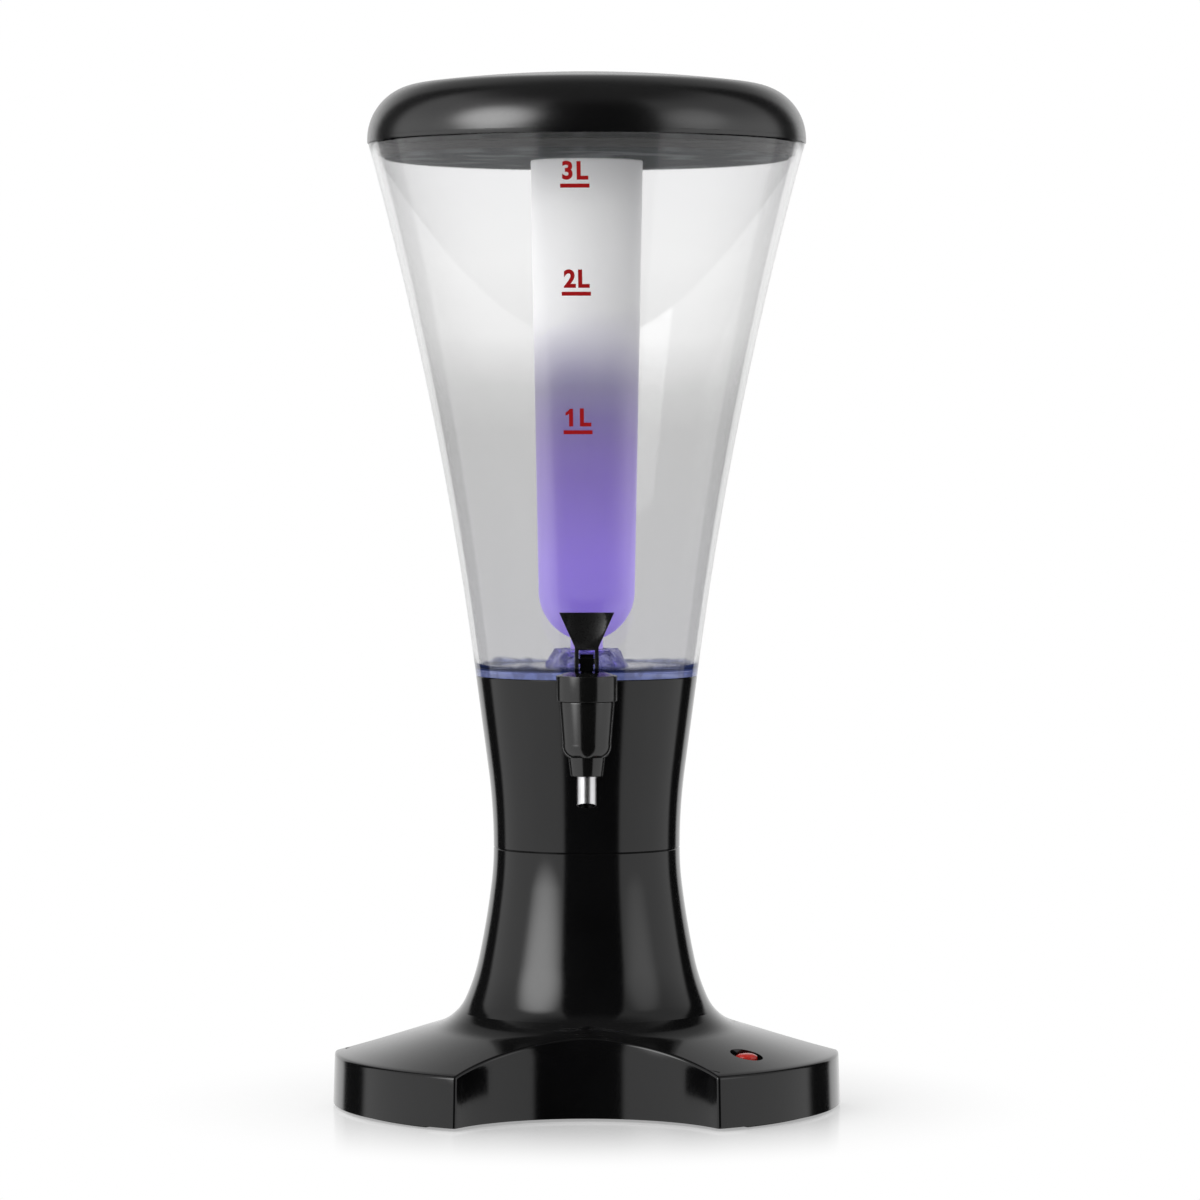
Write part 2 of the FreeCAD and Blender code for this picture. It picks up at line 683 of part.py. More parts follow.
def neck_profile(outline):
    """The neck's outer flare from the waist up to the tank floor."""
    hub = (s.waist_r.value + s.neck_sweep.value, s.joint_z.value)
    touch = touch_point(hub, s.neck_sweep.value, (s.floor_r.value, s.floor_z.value))
    outline.arc(Near(touch[0]), Near(touch[1]), s.neck_sweep, left=False, centre="level")
    return outline.line(s.floor_r, s.floor_z, smooth=True)


def ring_profile(sketch, inner, outer, low, high):
    """A rectangle that turns into a ring."""
    return rectangle(sketch, inner, low, outer, high)


def screw_group(label, places, low, head_r, head_height, shank_r, length, up):
    """Pan head screws as one group; they point up or down from their head's bearing face."""
    screws = []
    for index, (x, y) in enumerate(places, start=1):
        if up:
            head = rod(f"{label}_head_{index}", head_r, low - head_height, low, x, y)
            shank = rod(f"{label}_shank_{index}", shank_r, low, low + length, x, y)
        else:
            head = rod(f"{label}_head_{index}", head_r, low, low + head_height, x, y)
            shank = rod(f"{label}_shank_{index}", shank_r, low - length, low, x, y)
        screws.append(fuse(f"{label}_{index}", [head, shank]))
    return group(label, screws)


# Base shell: lobed foot, flared column, shelf and spigot, hollow inside
base_top_r = s.base_r - s.base_draft
boss_places = [on_circle(boss_ring, s.boss_angle * side + LOBE_ANGLES[0]) for side in (1, -1)]
all_boss_places = [
    on_circle(boss_ring, s.boss_angle * side + lobe) for lobe in LOBE_ANGLES for side in (1, -1)
]
post_bore = s.post_r - s.post_wall
post_places = [on_circle(s.post_screw_ring, as_size(angle)) for angle in BOSS_ANGLES]
switch_places = [
    (
        power_x + s.switch_screw_ring * sine(s.power_angle) * side,
        power_y + s.switch_screw_ring * cosine(s.power_angle) * side,
    )
    for side in (1, -1)
]


def make_base_shell():
    """The base shell is its outer form less its hollow."""
    outer = new_body("base_outer")
    outline = Outline(new_sketch(outer, "base_profile"), zero, shelf_top)
    spigot_top = s.joint_z + s.spigot_height
    outline.line(spigot_r - s.spigot_wall, shelf_top).line(spigot_r - s.spigot_wall, spigot_top)
    outline.line(spigot_r, spigot_top).line(spigot_r, s.joint_z).line(s.waist_r, s.joint_z)
    x, z, lean = s.waist_r.value, s.joint_z.value, 0.0
    curves = ((s.upper_sweep, s.upper_z), (s.middle_sweep, s.middle_z), (s.lower_sweep, s.lower_z))
    for sweep, level in curves:
        first = sweep is s.upper_sweep
        x, lean = flared(x, z, lean, sweep.value, level.value)
        z = level.value
        outline.arc(Near(x), level, sweep, left=True, smooth=not first, centre="level" if first else None)
    heel, rim = s.heel_round.value, s.rim_round.value
    fall = math.atan2(base_top_r.value - x, z - s.base_edge_z.value)
    heel_x = x + heel * (math.cos(lean) - math.cos(fall))
    heel_z = z - heel * (math.sin(fall) - math.sin(lean))
    outline.arc(Near(heel_x), Near(heel_z), s.heel_round, left=True, smooth=True)
    outline.line(Near(base_top_r.value - rim), Near(s.base_edge_z.value + rim), smooth=True)
    outline.arc(base_top_r, s.base_edge_z, s.rim_round, left=False, smooth=True)
    outline.line(s.base_r, shell_low, smooth=True).line(zero, shell_low)
    spin(outer, "base_form", outline.close())
    notch = new_sketch(outer, "notch_circle", "XY_Plane", shell_low)
    circles(notch, [(zero, -notch_reach, s.notch_r)])
    repeat(outer, "notches", [sink(outer, "notch", notch, s.joint_z)], LOBES)
    hole = new_sketch(outer, "power_circle", "XY_Plane", shell_low)
    sink(outer, "power_hole", circles(hole, [(power_x, power_y, s.power_hole_r)]), s.joint_z)
    pilots = new_sketch(outer, "switch_pilots", "XY_Plane", s.power_seat_z)
    places = [(x, y, s.small_screw_r) for x, y in switch_places]
    sink(outer, "switch_pilot_holes", circles(pilots, places), s.switch_screw_depth)
    shelf = new_sketch(outer, "shelf_circles", "XY_Plane", shelf_top - s.shelf_thick)
    places = [(zero, zero, post_bore)] + [(x, y, s.small_screw_r) for x, y in post_places]
    sink(outer, "shelf_holes", circles(shelf, places), s.shelf_thick)
    bosses = new_sketch(outer, "boss_pilots", "XY_Plane", plate_top)
    places = [(x, y, s.screw_r) for x, y in boss_places]
    pilot = sink(outer, "boss_pilot", circles(bosses, places), s.screw_length)
    repeat(outer, "boss_pilot_holes", [pilot], LOBES)
    groove_low = s.joint_z + s.spigot_height / 2 - s.seal_height / 2
    groove_top = groove_low + s.seal_height
    groove = new_sketch(outer, "ring_groove_profile")
    ring_profile(groove, spigot_r - s.seal_depth, spigot_r + s.cut_over, groove_low, groove_top)
    spin(outer, "ring_groove", groove, cut=True)

    hollow = new_body("base_hollow")
    low = shell_low - s.cut_over
    hollow_r = s.base_r - s.base_wall
    hollow_top_r = s.waist_r - s.neck_wall
    outline = Outline(new_sketch(hollow, "hollow_profile"), zero, low)
    outline.line(hollow_r, low).line(hollow_r, shell_low)
    outline.line(base_top_r - s.base_wall, s.base_edge_z - s.base_wall)
    outline.line(s.waist_r + s.cavity_heel, s.lower_z - s.heel_drop)
    outline.line(s.waist_r + s.cavity_hip, s.lower_z - s.hip_drop)
    outline.line(s.waist_r + s.cavity_leg, s.middle_z)
    outline.line(hollow_top_r, s.upper_z).line(hollow_top_r, shelf_top - s.shelf_thick)
    outline.line(zero, shelf_top - s.shelf_thick)
    spin(hollow, "hollow_form", outline.close())
    wall_r = s.notch_r + s.base_wall
    notch = circles(new_sketch(hollow, "wall_circle", "XY_Plane", low), [(zero, -notch_reach, wall_r)])
    repeat(hollow, "notch_walls", [sink(hollow, "notch_wall", notch, s.joint_z)], LOBES)
    places = [(x, y, s.boss_r) for x, y in boss_places]
    boss = circles(new_sketch(hollow, "boss_circles", "XY_Plane", plate_top), places)
    repeat(hollow, "bosses", [sink(hollow, "boss", boss, s.joint_z)], LOBES)
    seat = new_sketch(hollow, "seat_circle", "XY_Plane", s.power_seat_z)
    sink(hollow, "seat_boss", circles(seat, [(power_x, power_y, s.power_boss_r)]), s.joint_z)
    return keep(cut("base_shell", outer, hollow))


def make_base_plate():
    """The underside cover with the battery tray, the door's recess and the tabs' slots."""
    plate = new_body("base_plate")
    plate_r = s.base_r - s.base_wall - s.plate_gap
    disc = circles(new_sketch(plate, "disc_circle", "XY_Plane", shell_low), [(zero, zero, plate_r)])
    raise_up(plate, "disc", disc, s.plate_thick)
    notch = new_sketch(plate, "notch_circle", "XY_Plane", shell_low)
    circles(notch, [(zero, -notch_reach, s.notch_r + s.base_wall + s.plate_gap)])
    repeat(plate, "notches", [sink(plate, "notch", notch, s.plate_thick)], LOBES)
    side = tray_half_x + s.tray_wall
    end = tray_half_y + s.tray_wall
    tray = new_sketch(plate, "tray_outline", "XY_Plane", shell_low)
    rectangle(tray, -side, s.tray_y - end, side, s.tray_y + end)
    raise_up(plate, "tray", tray, tray_top + s.tray_wall - shell_low)
    room = new_sketch(plate, "room_outline", "XY_Plane", shell_low)
    rectangle(room, -tray_half_x, s.tray_y - tray_half_y, tray_half_x, s.tray_y + tray_half_y)
    sink(plate, "room", room, tray_top - shell_low)
    recess = new_sketch(plate, "recess_outline", "XY_Plane", shell_low)
    side = tray_half_x + s.door_lap + s.slip_gap
    end = tray_half_y + s.door_lap + s.slip_gap
    rectangle(recess, -side, s.tray_y - end, side, s.tray_y + end + s.door_travel)
    sink(plate, "recess", recess, recess_top - shell_low)
    slots = new_sketch(plate, "slot_outlines", "XY_Plane", tab_low - s.fit_gap)
    windows = new_sketch(plate, "window_outlines", "XY_Plane", shell_low)
    reach = side + s.tab_reach
    for across in (1, -1):
        for along in (1, -1):
            middle = s.tray_y + s.tab_spacing * along
            back = middle - s.tab_length / 2 - s.slip_gap
            front = middle + s.tab_length / 2 + s.slip_gap + s.door_travel
            rectangle(slots, tray_half_x * across, back, reach * across, front)
            rectangle(windows, tray_half_x * across, back + s.door_travel, reach * across, front)
    sink(plate, "tab_slots", slots, recess_top - tab_low + s.fit_gap)
    sink(plate, "tab_windows", windows, recess_top - shell_low)
    holes = [(x, y, s.screw_r + s.fit_gap) for x, y in boss_places]
    through = circles(new_sketch(plate, "hole_circles", "XY_Plane", shell_low), holes)
    heads = [(x, y, s.head_r + s.slip_gap) for x, y in boss_places]
    sunk = circles(new_sketch(plate, "head_circles", "XY_Plane", shell_low), heads)
    hole = sink(plate, "screw_hole", through, s.plate_thick)
    repeat(plate, "screw_holes", [hole], LOBES)
    bore = sink(plate, "head_bore", sunk, s.head_height + s.head_sink)
    repeat(plate, "head_bores", [bore], LOBES)
    wires = new_sketch(plate, "lead_circles", "XZ_Plane", tray_half_y - s.tray_y)
    places = [(cell_pitch * side, cell_z, s.lead_r + s.fit_gap) for side in (1, -1)]
    sink(plate, "lead_holes", circles(wires, places), s.tray_wall)
    return keep(plate)


def make_base_screws():
    """Six screws hold the plate under the shell."""
    bearing = shell_low + s.head_height + s.head_sink
    sizes = (s.head_r, s.head_height, s.screw_r, s.screw_length)
    return keep(screw_group("base_screws", all_boss_places, bearing, *sizes, up=True))


def make_foot_pads():
    """One rubber pad under each lobe."""
    outer = s.base_r - s.pad_inset
    inner = outer - s.pad_width
    for name, angle in zip(("right", "left", "rear"), LOBE_ANGLES):
        pad = new_body(f"foot_pad_{name}", turn=(Vector(0, 0, 1), angle))
        sketch = ring_profile(new_sketch(pad, "pad_profile"), inner, outer, zero, s.foot_height)
        spin(pad, "pad", sketch, angle=s.pad_angle)
        keep(pad)


def make_battery():
    """Three cells, their contacts and the sliding door."""
    foot_y = s.tray_y - tray_half_y + s.contact_room
    contacts = []
    for index, place in enumerate((-1, 0, 1), start=1):
        x = cell_pitch * place if place else zero
        laid = (Vector(1, 0, 0), -QUARTER_TURN)
        cell = new_body(f"battery_cell_{index}", x, foot_y, cell_z, laid)
        outline = Outline(new_sketch(cell, "cell_profile"), zero, zero)
        outline.line(s.cell_r, zero).line(s.cell_r, s.cell_length).line(s.button_r, s.cell_length)
        outline.line(s.button_r, s.cell_length + s.button_height).line(zero, s.cell_length + s.button_height)
        spin(cell, "cell", outline.close())
        keep(cell)
        half = s.contact_side / 2
        for end, name in ((1, "front"), (-1, "back")):
            wall = s.tray_y - tray_half_y * end
            inner = wall + s.contact_thick * end
            sides = (x - half, x + half), (wall, inner) if end > 0 else (inner, wall)
            leaf = block(f"leaf_{name}_{index}", *sides, (cell_z - half, cell_z + half))
            bump = doc.addObject("Part::Cone", f"bump_{name}_{index}")
            bump.Placement.Rotation = FreeCAD.Rotation(Vector(1, 0, 0), -QUARTER_TURN * end)
            bind(bump, "Radius1", s.button_r * s.bump_flare)
            bind(bump, "Radius2", s.button_r)
            bind(bump, "Height", s.contact_room - s.contact_thick)
            for letter, size in (("x", x), ("y", inner), ("z", cell_z)):
                bind(bump, f"Placement.Base.{letter}", size)
            contacts.append(fuse(f"contact_{name}_{index}", [leaf, bump]))
    keep(group("battery_contacts", contacts))


def make_battery_door():
    """The door lies flush in the plate and hooks under it with four tabs."""
    side = tray_half_x + s.door_lap
    end = tray_half_y + s.door_lap
    pieces = [block("door_leaf", (-side, side), (s.tray_y - end, s.tray_y + end), (door_low, door_top))]
    for across in (1, -1):
        for along in (1, -1):
            middle = s.tray_y + s.tab_spacing * along
            reach = side + s.tab_reach
            x = (side - s.tab_reach, reach) if across > 0 else (-reach, s.tab_reach - side)
            y = (middle - s.tab_length / 2, middle + s.tab_length / 2)
            pieces.append(block(f"door_tab_{len(pieces)}", x, y, (tab_low, door_top)))
    return keep(fuse("battery_door", pieces))


def make_switch():
    """Push switch under its boss, with the red cap that travels in it."""
    switch = new_body("switch_body", power_x, power_y)
    flange_low = s.power_seat_z - s.switch_flange
    outline = Outline(new_sketch(switch, "switch_profile"), zero, s.switch_bottom)
    outline.line(s.switch_r, s.switch_bottom).line(s.switch_r, flange_low)
    outline.line(s.switch_flange_r, flange_low).line(s.switch_flange_r, s.power_seat_z)
    outline.line(s.switch_r, s.power_seat_z).line(s.switch_r, s.switch_top)
    outline.line(s.switch_bore_r, s.switch_top).line(s.switch_bore_r, s.switch_bore_z)
    outline.line(s.switch_well_r, s.switch_bore_z).line(s.switch_well_r, s.switch_well_z)
    outline.line(zero, s.switch_well_z)
    spin(switch, "switch_form", outline.close())
    sketch = new_sketch(switch, "terminal_outlines", "XY_Plane", s.switch_bottom - s.terminal_length)
    for side in (1, -1):
        middle = s.terminal_side * side
        thick, width = s.terminal_thick / 2, s.terminal_width / 2
        rectangle(sketch, -thick, middle - width, thick, middle + width)
    raise_up(switch, "terminals", sketch, s.terminal_length + s.fit_gap)
    holes = new_sketch(switch, "screw_circles", "XY_Plane", flange_low)
    places = [(x - power_x, y - power_y, s.small_screw_r + s.fit_gap) for x, y in switch_places]
    sink(switch, "screw_holes", circles(holes, places), s.switch_flange)
    keep(switch)
    length = s.switch_flange + s.switch_screw_depth
    sizes = (s.small_head_r, s.head_height, s.small_screw_r, length)
    keep(screw_group("switch_screws", switch_places, flange_low, *sizes, up=True))

    cap = new_body("power_cap", power_x, power_y)
    crown = s.cap_top - s.cap_side_z
    dome_r = (s.cap_r * s.cap_r + crown * crown) / (crown * 2)
    outline = Outline(new_sketch(cap, "cap_profile"), zero, s.cap_stem_z)
    outline.line(s.cap_stem_r, s.cap_stem_z).line(s.cap_stem_r, s.cap_bottom)
    outline.line(s.cap_r, s.cap_bottom).line(s.cap_r, s.cap_side_z)
    outline.arc(zero, s.cap_top, dome_r, left=True)
    spin(cap, "cap", outline.close())
    keep(cap)
    spring = new_body("button_spring", power_x, power_y)
    inner, outer = s.cap_stem_r + s.slip_gap, s.switch_well_r - s.slip_gap
    sketch = ring_profile(new_sketch(spring, "sleeve_profile"), inner, outer, s.switch_well_z, s.cap_bottom)
    spin(spring, "sleeve", sketch)
    keep(spring)


def make_lamp():
    """A post on the shelf carries the lamp board up under the tank floor."""
    post = new_body("lamp_post")
    flange_top = shelf_top + s.post_flange
    outline = Outline(new_sketch(post, "post_profile"), post_bore, shelf_top)
    outline.line(s.post_flange_r, shelf_top).line(s.post_flange_r, flange_top).line(s.post_r, flange_top)
    outline.line(s.post_r, s.post_top).line(post_bore, s.post_top)
    spin(post, "post", outline.close())
    holes = new_sketch(post, "screw_circles", "XY_Plane", shelf_top)
    places = [(x, y, s.small_screw_r + s.fit_gap) for x, y in post_places]
    sink(post, "screw_holes", circles(holes, places), s.post_flange)
    keep(post)
    sizes = (s.small_head_r, s.head_height, s.small_screw_r, s.post_screw_length)
    keep(screw_group("post_screws", post_places, flange_top, *sizes, up=False))
    board_top = s.post_top + s.board_thick
    keep(rod("lamp_board", s.post_r - s.fit_gap, s.post_top, board_top))
    half = s.chip_side / 2
    chips = []
    for index, (x, y) in enumerate(((1, 0), (0, 1), (-1, 0), (0, -1)), start=1):
        across, along = s.chip_ring * x, s.chip_ring * y
        sides = ((across - half, across + half), (along - half, along + half))
        chips.append(block(f"light_chip_{index}", *sides, (board_top, board_top + s.chip_height)))
    keep(group("light_chips", chips))
    lens = new_body("lamp_lens")
    inner = s.post_r + s.run_gap
    outer = inner + s.lens_wall
    skirt = s.post_top - s.lens_skirt
    rise = s.lens_top - s.lens_side_z
    sink_in = rise - s.lens_wall
    outline = Outline(new_sketch(lens, "lens_profile"), inner, skirt)
    outline.line(outer, skirt).line(outer, s.lens_side_z)
    outline.arc(zero, s.lens_top, (outer * outer + rise * rise) / (rise * 2), left=True)
    outline.line(zero, s.lens_top - s.lens_wall)
    outline.arc(inner, s.lens_side_z, (inner * inner + sink_in * sink_in) / (sink_in * 2), left=False)
    spin(lens, "lens", outline.close())
    keep(lens)


# Neck, tank and what joins them
neck_inner_low = s.waist_r - s.neck_wall
neck_inner_bend = neck_inner_low + s.neck_bend
socket_r = s.floor_r - s.neck_wall
neck_inner_top = socket_r - (s.floor_z - s.flange_z) * s.floor_slope
neck_inner_lean = (neck_inner_top - neck_inner_bend) / (s.flange_z - s.neck_bend_z)
flange_top = s.flange_z + s.flange_thick
skirt_r = socket_r - s.fit_gap
tank_seal_z = s.floor_z - s.skirt_height / 2


def make_neck():
    """The neck shell: flare outside, socket at the top, flange for the tank screws."""
    neck = new_body("neck_shell")
    outline = Outline(new_sketch(neck, "neck_profile"), neck_inner_low, s.joint_z)
    neck_profile(outline.line(s.waist_r, s.joint_z))
    outline.line(socket_r, s.floor_z).line(socket_r, flange_top).line(s.flange_r, flange_top)
    outline.line(s.flange_r, s.flange_z).line(neck_inner_top, s.flange_z)
    outline.line(neck_inner_bend, s.neck_bend_z)
    spin(neck, "neck_form", outline.close())
    hole = new_sketch(neck, "shank_circle")
    sink(neck, "shank_hole", circles(hole, [(zero, s.shank_z, s.shank_r + s.slip_gap)]), s.floor_r)
    slot = new_sketch(neck, "slot_outline", "XY_Plane", s.flange_z)
    side = s.elbow_half + s.cut_over
    front = neck_inner_top + neck_inner_lean * s.flange_thick
    rectangle(slot, -side, -front, side, -s.elbow_back)
    sink(neck, "elbow_slot", slot, s.flange_thick)
    place = [(zero, s.tank_boss_ring, s.screw_r + s.fit_gap)]
    holes = circles(new_sketch(neck, "screw_circle", "XY_Plane", s.flange_z), place)
    repeat(neck, "screw_holes", [sink(neck, "screw_hole", holes, s.flange_thick)], LOBES)
    keep(neck)
    places = [on_circle(s.tank_boss_ring, as_size(angle)) for angle in BOSS_ANGLES]
    sizes = (s.head_r, s.head_height, s.screw_r, s.neck_screw_length)
    keep(screw_group("neck_screws", places, s.flange_z, *sizes, up=True))
    ring = new_body("joint_ring")
    low = s.joint_z + s.spigot_height / 2 - s.seal_height / 2
    outer = spigot_r + s.slip_gap - s.run_gap
    sketch = new_sketch(ring, "ring_profile")
    ring_profile(sketch, spigot_r - s.seal_depth, outer, low, low + s.seal_height)
    spin(ring, "ring", sketch)
    keep(ring)


def make_tank():
    """The clear tank with its floor, ring, screw bosses and outlet spigot."""
    tank = new_body("tank")
    outline = Outline(new_sketch(tank, "tank_profile"), zero, s.floor_z)
    outline.line(s.floor_r, s.floor_z).arc(s.rim_r, s.rim_z, s.tank_sweep, left=False)
    outline.line(s.rim_r - s.tank_wall, s.rim_z)
    outline.arc(inner_floor_r, floor_top, s.tank_sweep + s.tank_wall, left=True).line(zero, floor_top)
    spin(tank, "tank_form", outline.close())
    round_edges(tank, "floor_fillet", level_ring(floor_top, inner_floor_r), s.floor_round)
    skirt = new_sketch(tank, "skirt_profile")
    ring_profile(skirt, skirt_r - s.skirt_wall, skirt_r, s.floor_z - s.skirt_height, s.floor_z)
    spin(tank, "skirt", skirt)
    low = tank_seal_z - s.seal_height / 2
    groove = new_sketch(tank, "groove_profile")
    ring_profile(groove, skirt_r - s.seal_depth, skirt_r + s.cut_over, low, low + s.seal_height)
    spin(tank, "seal_groove", groove, cut=True)
    boss = new_sketch(tank, "boss_circle", "XY_Plane", flange_top)
    circles(boss, [(zero, s.tank_boss_ring, s.boss_r)])
    repeat(tank, "bosses", [raise_up(tank, "boss", boss, s.floor_z - flange_top)], LOBES)
    pilot = new_sketch(tank, "pilot_circle", "XY_Plane", flange_top)
    circles(pilot, [(zero, s.tank_boss_ring, s.screw_r)])
    depth = s.neck_screw_length - s.flange_thick
    repeat(tank, "pilots", [sink(tank, "pilot", pilot, depth)], LOBES)
    steps = ((s.outlet_shoulder_r, s.outlet_shoulder, "shoulder"), (s.outlet_r, s.outlet_length, "spigot"))
    for radius, length, name in steps:
        sketch = new_sketch(tank, f"{name}_circle", "XY_Plane", s.floor_z - length)
        raise_up(tank, name, circles(sketch, [(zero, -s.outlet_y, radius)]), length)
    bore = new_sketch(tank, "outlet_circle", "XY_Plane", s.floor_z - s.outlet_length)
    length = s.outlet_length + s.floor_thick
    sink(tank, "outlet", circles(bore, [(zero, -s.outlet_y, s.outlet_bore)]), length)
    keep(tank)
    seal = new_body("tank_seal")
    sketch = new_sketch(seal, "seal_profile")
    ring_profile(sketch, skirt_r - s.seal_depth, socket_r - s.run_gap, low, low + s.seal_height)
    spin(seal, "seal", sketch)
    keep(seal)


def make_light_crown():
    """The clear crown on the tank floor spreads the lamp's light and centres the ice tube."""
    crown = new_body("light_crown")
    top = floor_top + s.crown_height
    socket = s.peg_r + s.slip_gap
    outline = Outline(new_sketch(crown, "crown_profile"), zero, floor_top)
    outline.line(s.crown_r, floor_top).line(s.crown_shoulder, top).line(socket, top)
    outline.line(socket, s.peg_z).line(zero, s.peg_z)
    spin(crown, "crown_form", outline.close())
    dent = new_sketch(crown, "dent_circle", "XY_Plane", floor_top)
    dent = sink(crown, "dent", circles(dent, [(zero, s.crown_r, s.crown_dent_r)]), s.crown_height)
    repeat(crown, "dents", [dent], int(s.crown_sides.value))
    keep(crown)


def make_outlet():
    """The elbow under the tank floor takes the tap's shank and clamps the neck wall."""
    elbow = new_body("outlet_elbow")
    sketch = new_sketch(elbow, "elbow_outline", "XY_Plane", s.elbow_bottom)
    rectangle(sketch, -s.elbow_half, -s.elbow_front, s.elbow_half, -s.elbow_back)
    raise_up(elbow, "elbow_form", sketch, s.elbow_top - s.elbow_bottom)

    def upright(box):
        thin = box.XLength < SAME_LEVEL and box.YLength < SAME_LEVEL
        return thin and box.YMin > -s.elbow_back.value - SAME_RADIUS

    round_edges(elbow, "elbow_fillet", upright, s.elbow_round)
    socket = new_sketch(elbow, "socket_circle", "XY_Plane", s.elbow_top - s.elbow_socket)
    sink(elbow, "socket", circles(socket, [(zero, -s.outlet_y, s.outlet_r + s.fit_gap)]), s.elbow_socket)
    passage = new_sketch(elbow, "passage_circle", "XY_Plane", s.shank_z)
    length = s.elbow_top - s.shank_z
    sink(elbow, "passage", circles(passage, [(zero, -s.outlet_y, s.outlet_bore)]), length)
    thread = new_sketch(elbow, "thread_circle", "XZ_Plane", s.elbow_front)
    length = s.elbow_front - s.shank_end
    sink(elbow, "thread", circles(thread, [(zero, s.shank_z, s.shank_r + s.run_gap)]), length, along=False)
    bore = new_sketch(elbow, "bore_circle", "XZ_Plane", s.elbow_front)
    length = s.elbow_front - s.outlet_y + s.outlet_bore
    sink(elbow, "bore", circles(bore, [(zero, s.shank_z, s.outlet_bore)]), length, along=False)
    keep(elbow)
    ring = new_body("outlet_ring", zero, -s.outlet_y)
    sketch = new_sketch(ring, "ring_profile")
    shoulder_low = s.floor_z - s.outlet_shoulder
    ring_profile(sketch, s.outlet_r + s.fit_gap, s.outlet_shoulder_r, s.elbow_top, shoulder_low)
    spin(ring, "ring", sketch)
    keep(ring)


def make_gaskets():
    """Two gaskets shaped to the neck's wall, one on each side of it."""
    for name, start, reverse in (("outer", s.collar_back, True), ("inner", s.elbow_front, False)):
        gasket = new_body(f"tap_gasket_{name}")
        sketch = new_sketch(gasket, "gasket_circles", "XZ_Plane", start)
        circles(sketch, [(zero, s.shank_z, s.collar_r), (zero, s.shank_z, s.shank_r + s.fit_gap)])
        raise_up(gasket, "gasket_form", sketch, s.gasket_blank, reverse)
        if name == "outer":
            outline = Outline(new_sketch(gasket, "wall_profile"), zero, s.joint_z)
            neck_profile(outline.line(s.waist_r, s.joint_z)).line(zero, s.floor_z)
        else:
            near = neck_inner_bend - s.run_gap
            far = s.floor_r + s.neck_wall
            outline = Outline(new_sketch(gasket, "wall_profile"), near, s.neck_bend_z)
            outline.line(far, s.neck_bend_z).line(far, s.floor_z)
            outline.line(near + neck_inner_lean * (s.floor_z - s.neck_bend_z), s.floor_z)
        spin(gasket, "wall_cut", outline.close(), cut=True)
        keep(gasket)


def make_tap_body():
    """Valve body with its flange and shank."""
    body = new_body("tap_body", zero, -s.tap_y)
    outline = Outline(new_sketch(body, "body_profile"), zero, s.body_foot_z)
    outline.line(s.body_foot_r, s.body_foot_z)
    outline.arc(s.body_knee_r, s.body_knee_z, s.body_knee_round, left=True)
    outline.line(s.body_r, s.body_top_z).line(zero, s.body_top_z)
    spin(body, "body_form", outline.close())
    shank = circles(new_sketch(body, "shank_circle"), [(zero, s.shank_z, s.shank_r)])
    raise_up(body, "shank", shank, s.tap_y - s.shank_end, reverse=True)
    flange = new_sketch(body, "flange_circle", "XZ_Plane", s.collar_front - s.tap_y)
    circles(flange, [(zero, s.shank_z, s.collar_r)])
    raise_up(body, "flange", flange, s.collar_front - s.collar_back, reverse=True)
    seat_r = s.spout_r - s.spout_wall
    socket = s.spout_r + s.run_gap
    outline = Outline(new_sketch(body, "chamber_profile"), zero, s.body_foot_z - s.cut_over)
    outline.line(socket, s.body_foot_z - s.cut_over).line(socket, s.spout_top)
    outline.line(seat_r, s.spout_top).line(seat_r, s.seat_z).line(s.chamber_r, s.seat_z)
    outline.line(s.chamber_r, s.body_top_z + s.cut_over).line(zero, s.body_top_z + s.cut_over)
    spin(body, "chamber", outline.close(), cut=True)
    bore = circles(new_sketch(body, "bore_circle"), [(zero, s.shank_z, s.outlet_bore)])
    sink(body, "bore", bore, s.tap_y - s.shank_end, along=False)
    keep(body)


def make_spout():
    """Spout tube, cut aslant at its mouth, and the collar that holds it."""
    collar = new_body("spout_collar", zero, -s.tap_y)
    socket = s.spout_r + s.run_gap
    outline = Outline(new_sketch(collar, "collar_profile"), socket, s.nut_foot_z)
    outline.line(s.nut_foot_r, s.nut_foot_z).line(s.nut_top_r, s.body_foot_z).line(socket, s.body_foot_z)
    spin(collar, "collar", outline.close())
    keep(collar)
    tube = new_body("spout_tube", zero, -s.tap_y)
    sketch = new_sketch(tube, "tube_profile")
    ring_profile(sketch, s.spout_r - s.spout_wall, s.spout_r, s.spout_end, s.spout_top)
    spin(tube, "tube", sketch)
    side = s.spout_r + s.cut_over
    slant = new_sketch(tube, "slant_outline", "YZ_Plane", -side)
    Outline(slant, -s.spout_r, s.spout_end + s.spout_slant).line(s.spout_r, s.spout_end).line(
        -s.spout_r, s.spout_end
    ).close()
    sink(tube, "slant", slant, side * 2)
    keep(tube)


def make_bonnet():
    """The bonnet closes the chamber, guides the stem and carries the handle's cam."""
    bonnet = new_body("tap_bonnet", zero, -s.tap_y)
    guide = s.stem_r + s.run_gap
    roof_z = s.bonnet_top_z - s.bonnet_roof
    plug_z = s.body_top_z - s.bonnet_plug
    plug_r = s.chamber_r - s.run_gap
    outline = Outline(new_sketch(bonnet, "bonnet_profile"), guide, roof_z)
    outline.line(guide, s.bonnet_top_z).line(s.bonnet_flat_r, s.bonnet_top_z)
    outline.line(s.bonnet_r, s.bonnet_edge_z).line(s.bonnet_r, s.body_top_z).line(plug_r, s.body_top_z)
    outline.line(plug_r, plug_z).line(s.spring_room_r, plug_z).line(s.spring_room_r, roof_z)
    spin(bonnet, "bonnet", outline.close())
    keep(bonnet)


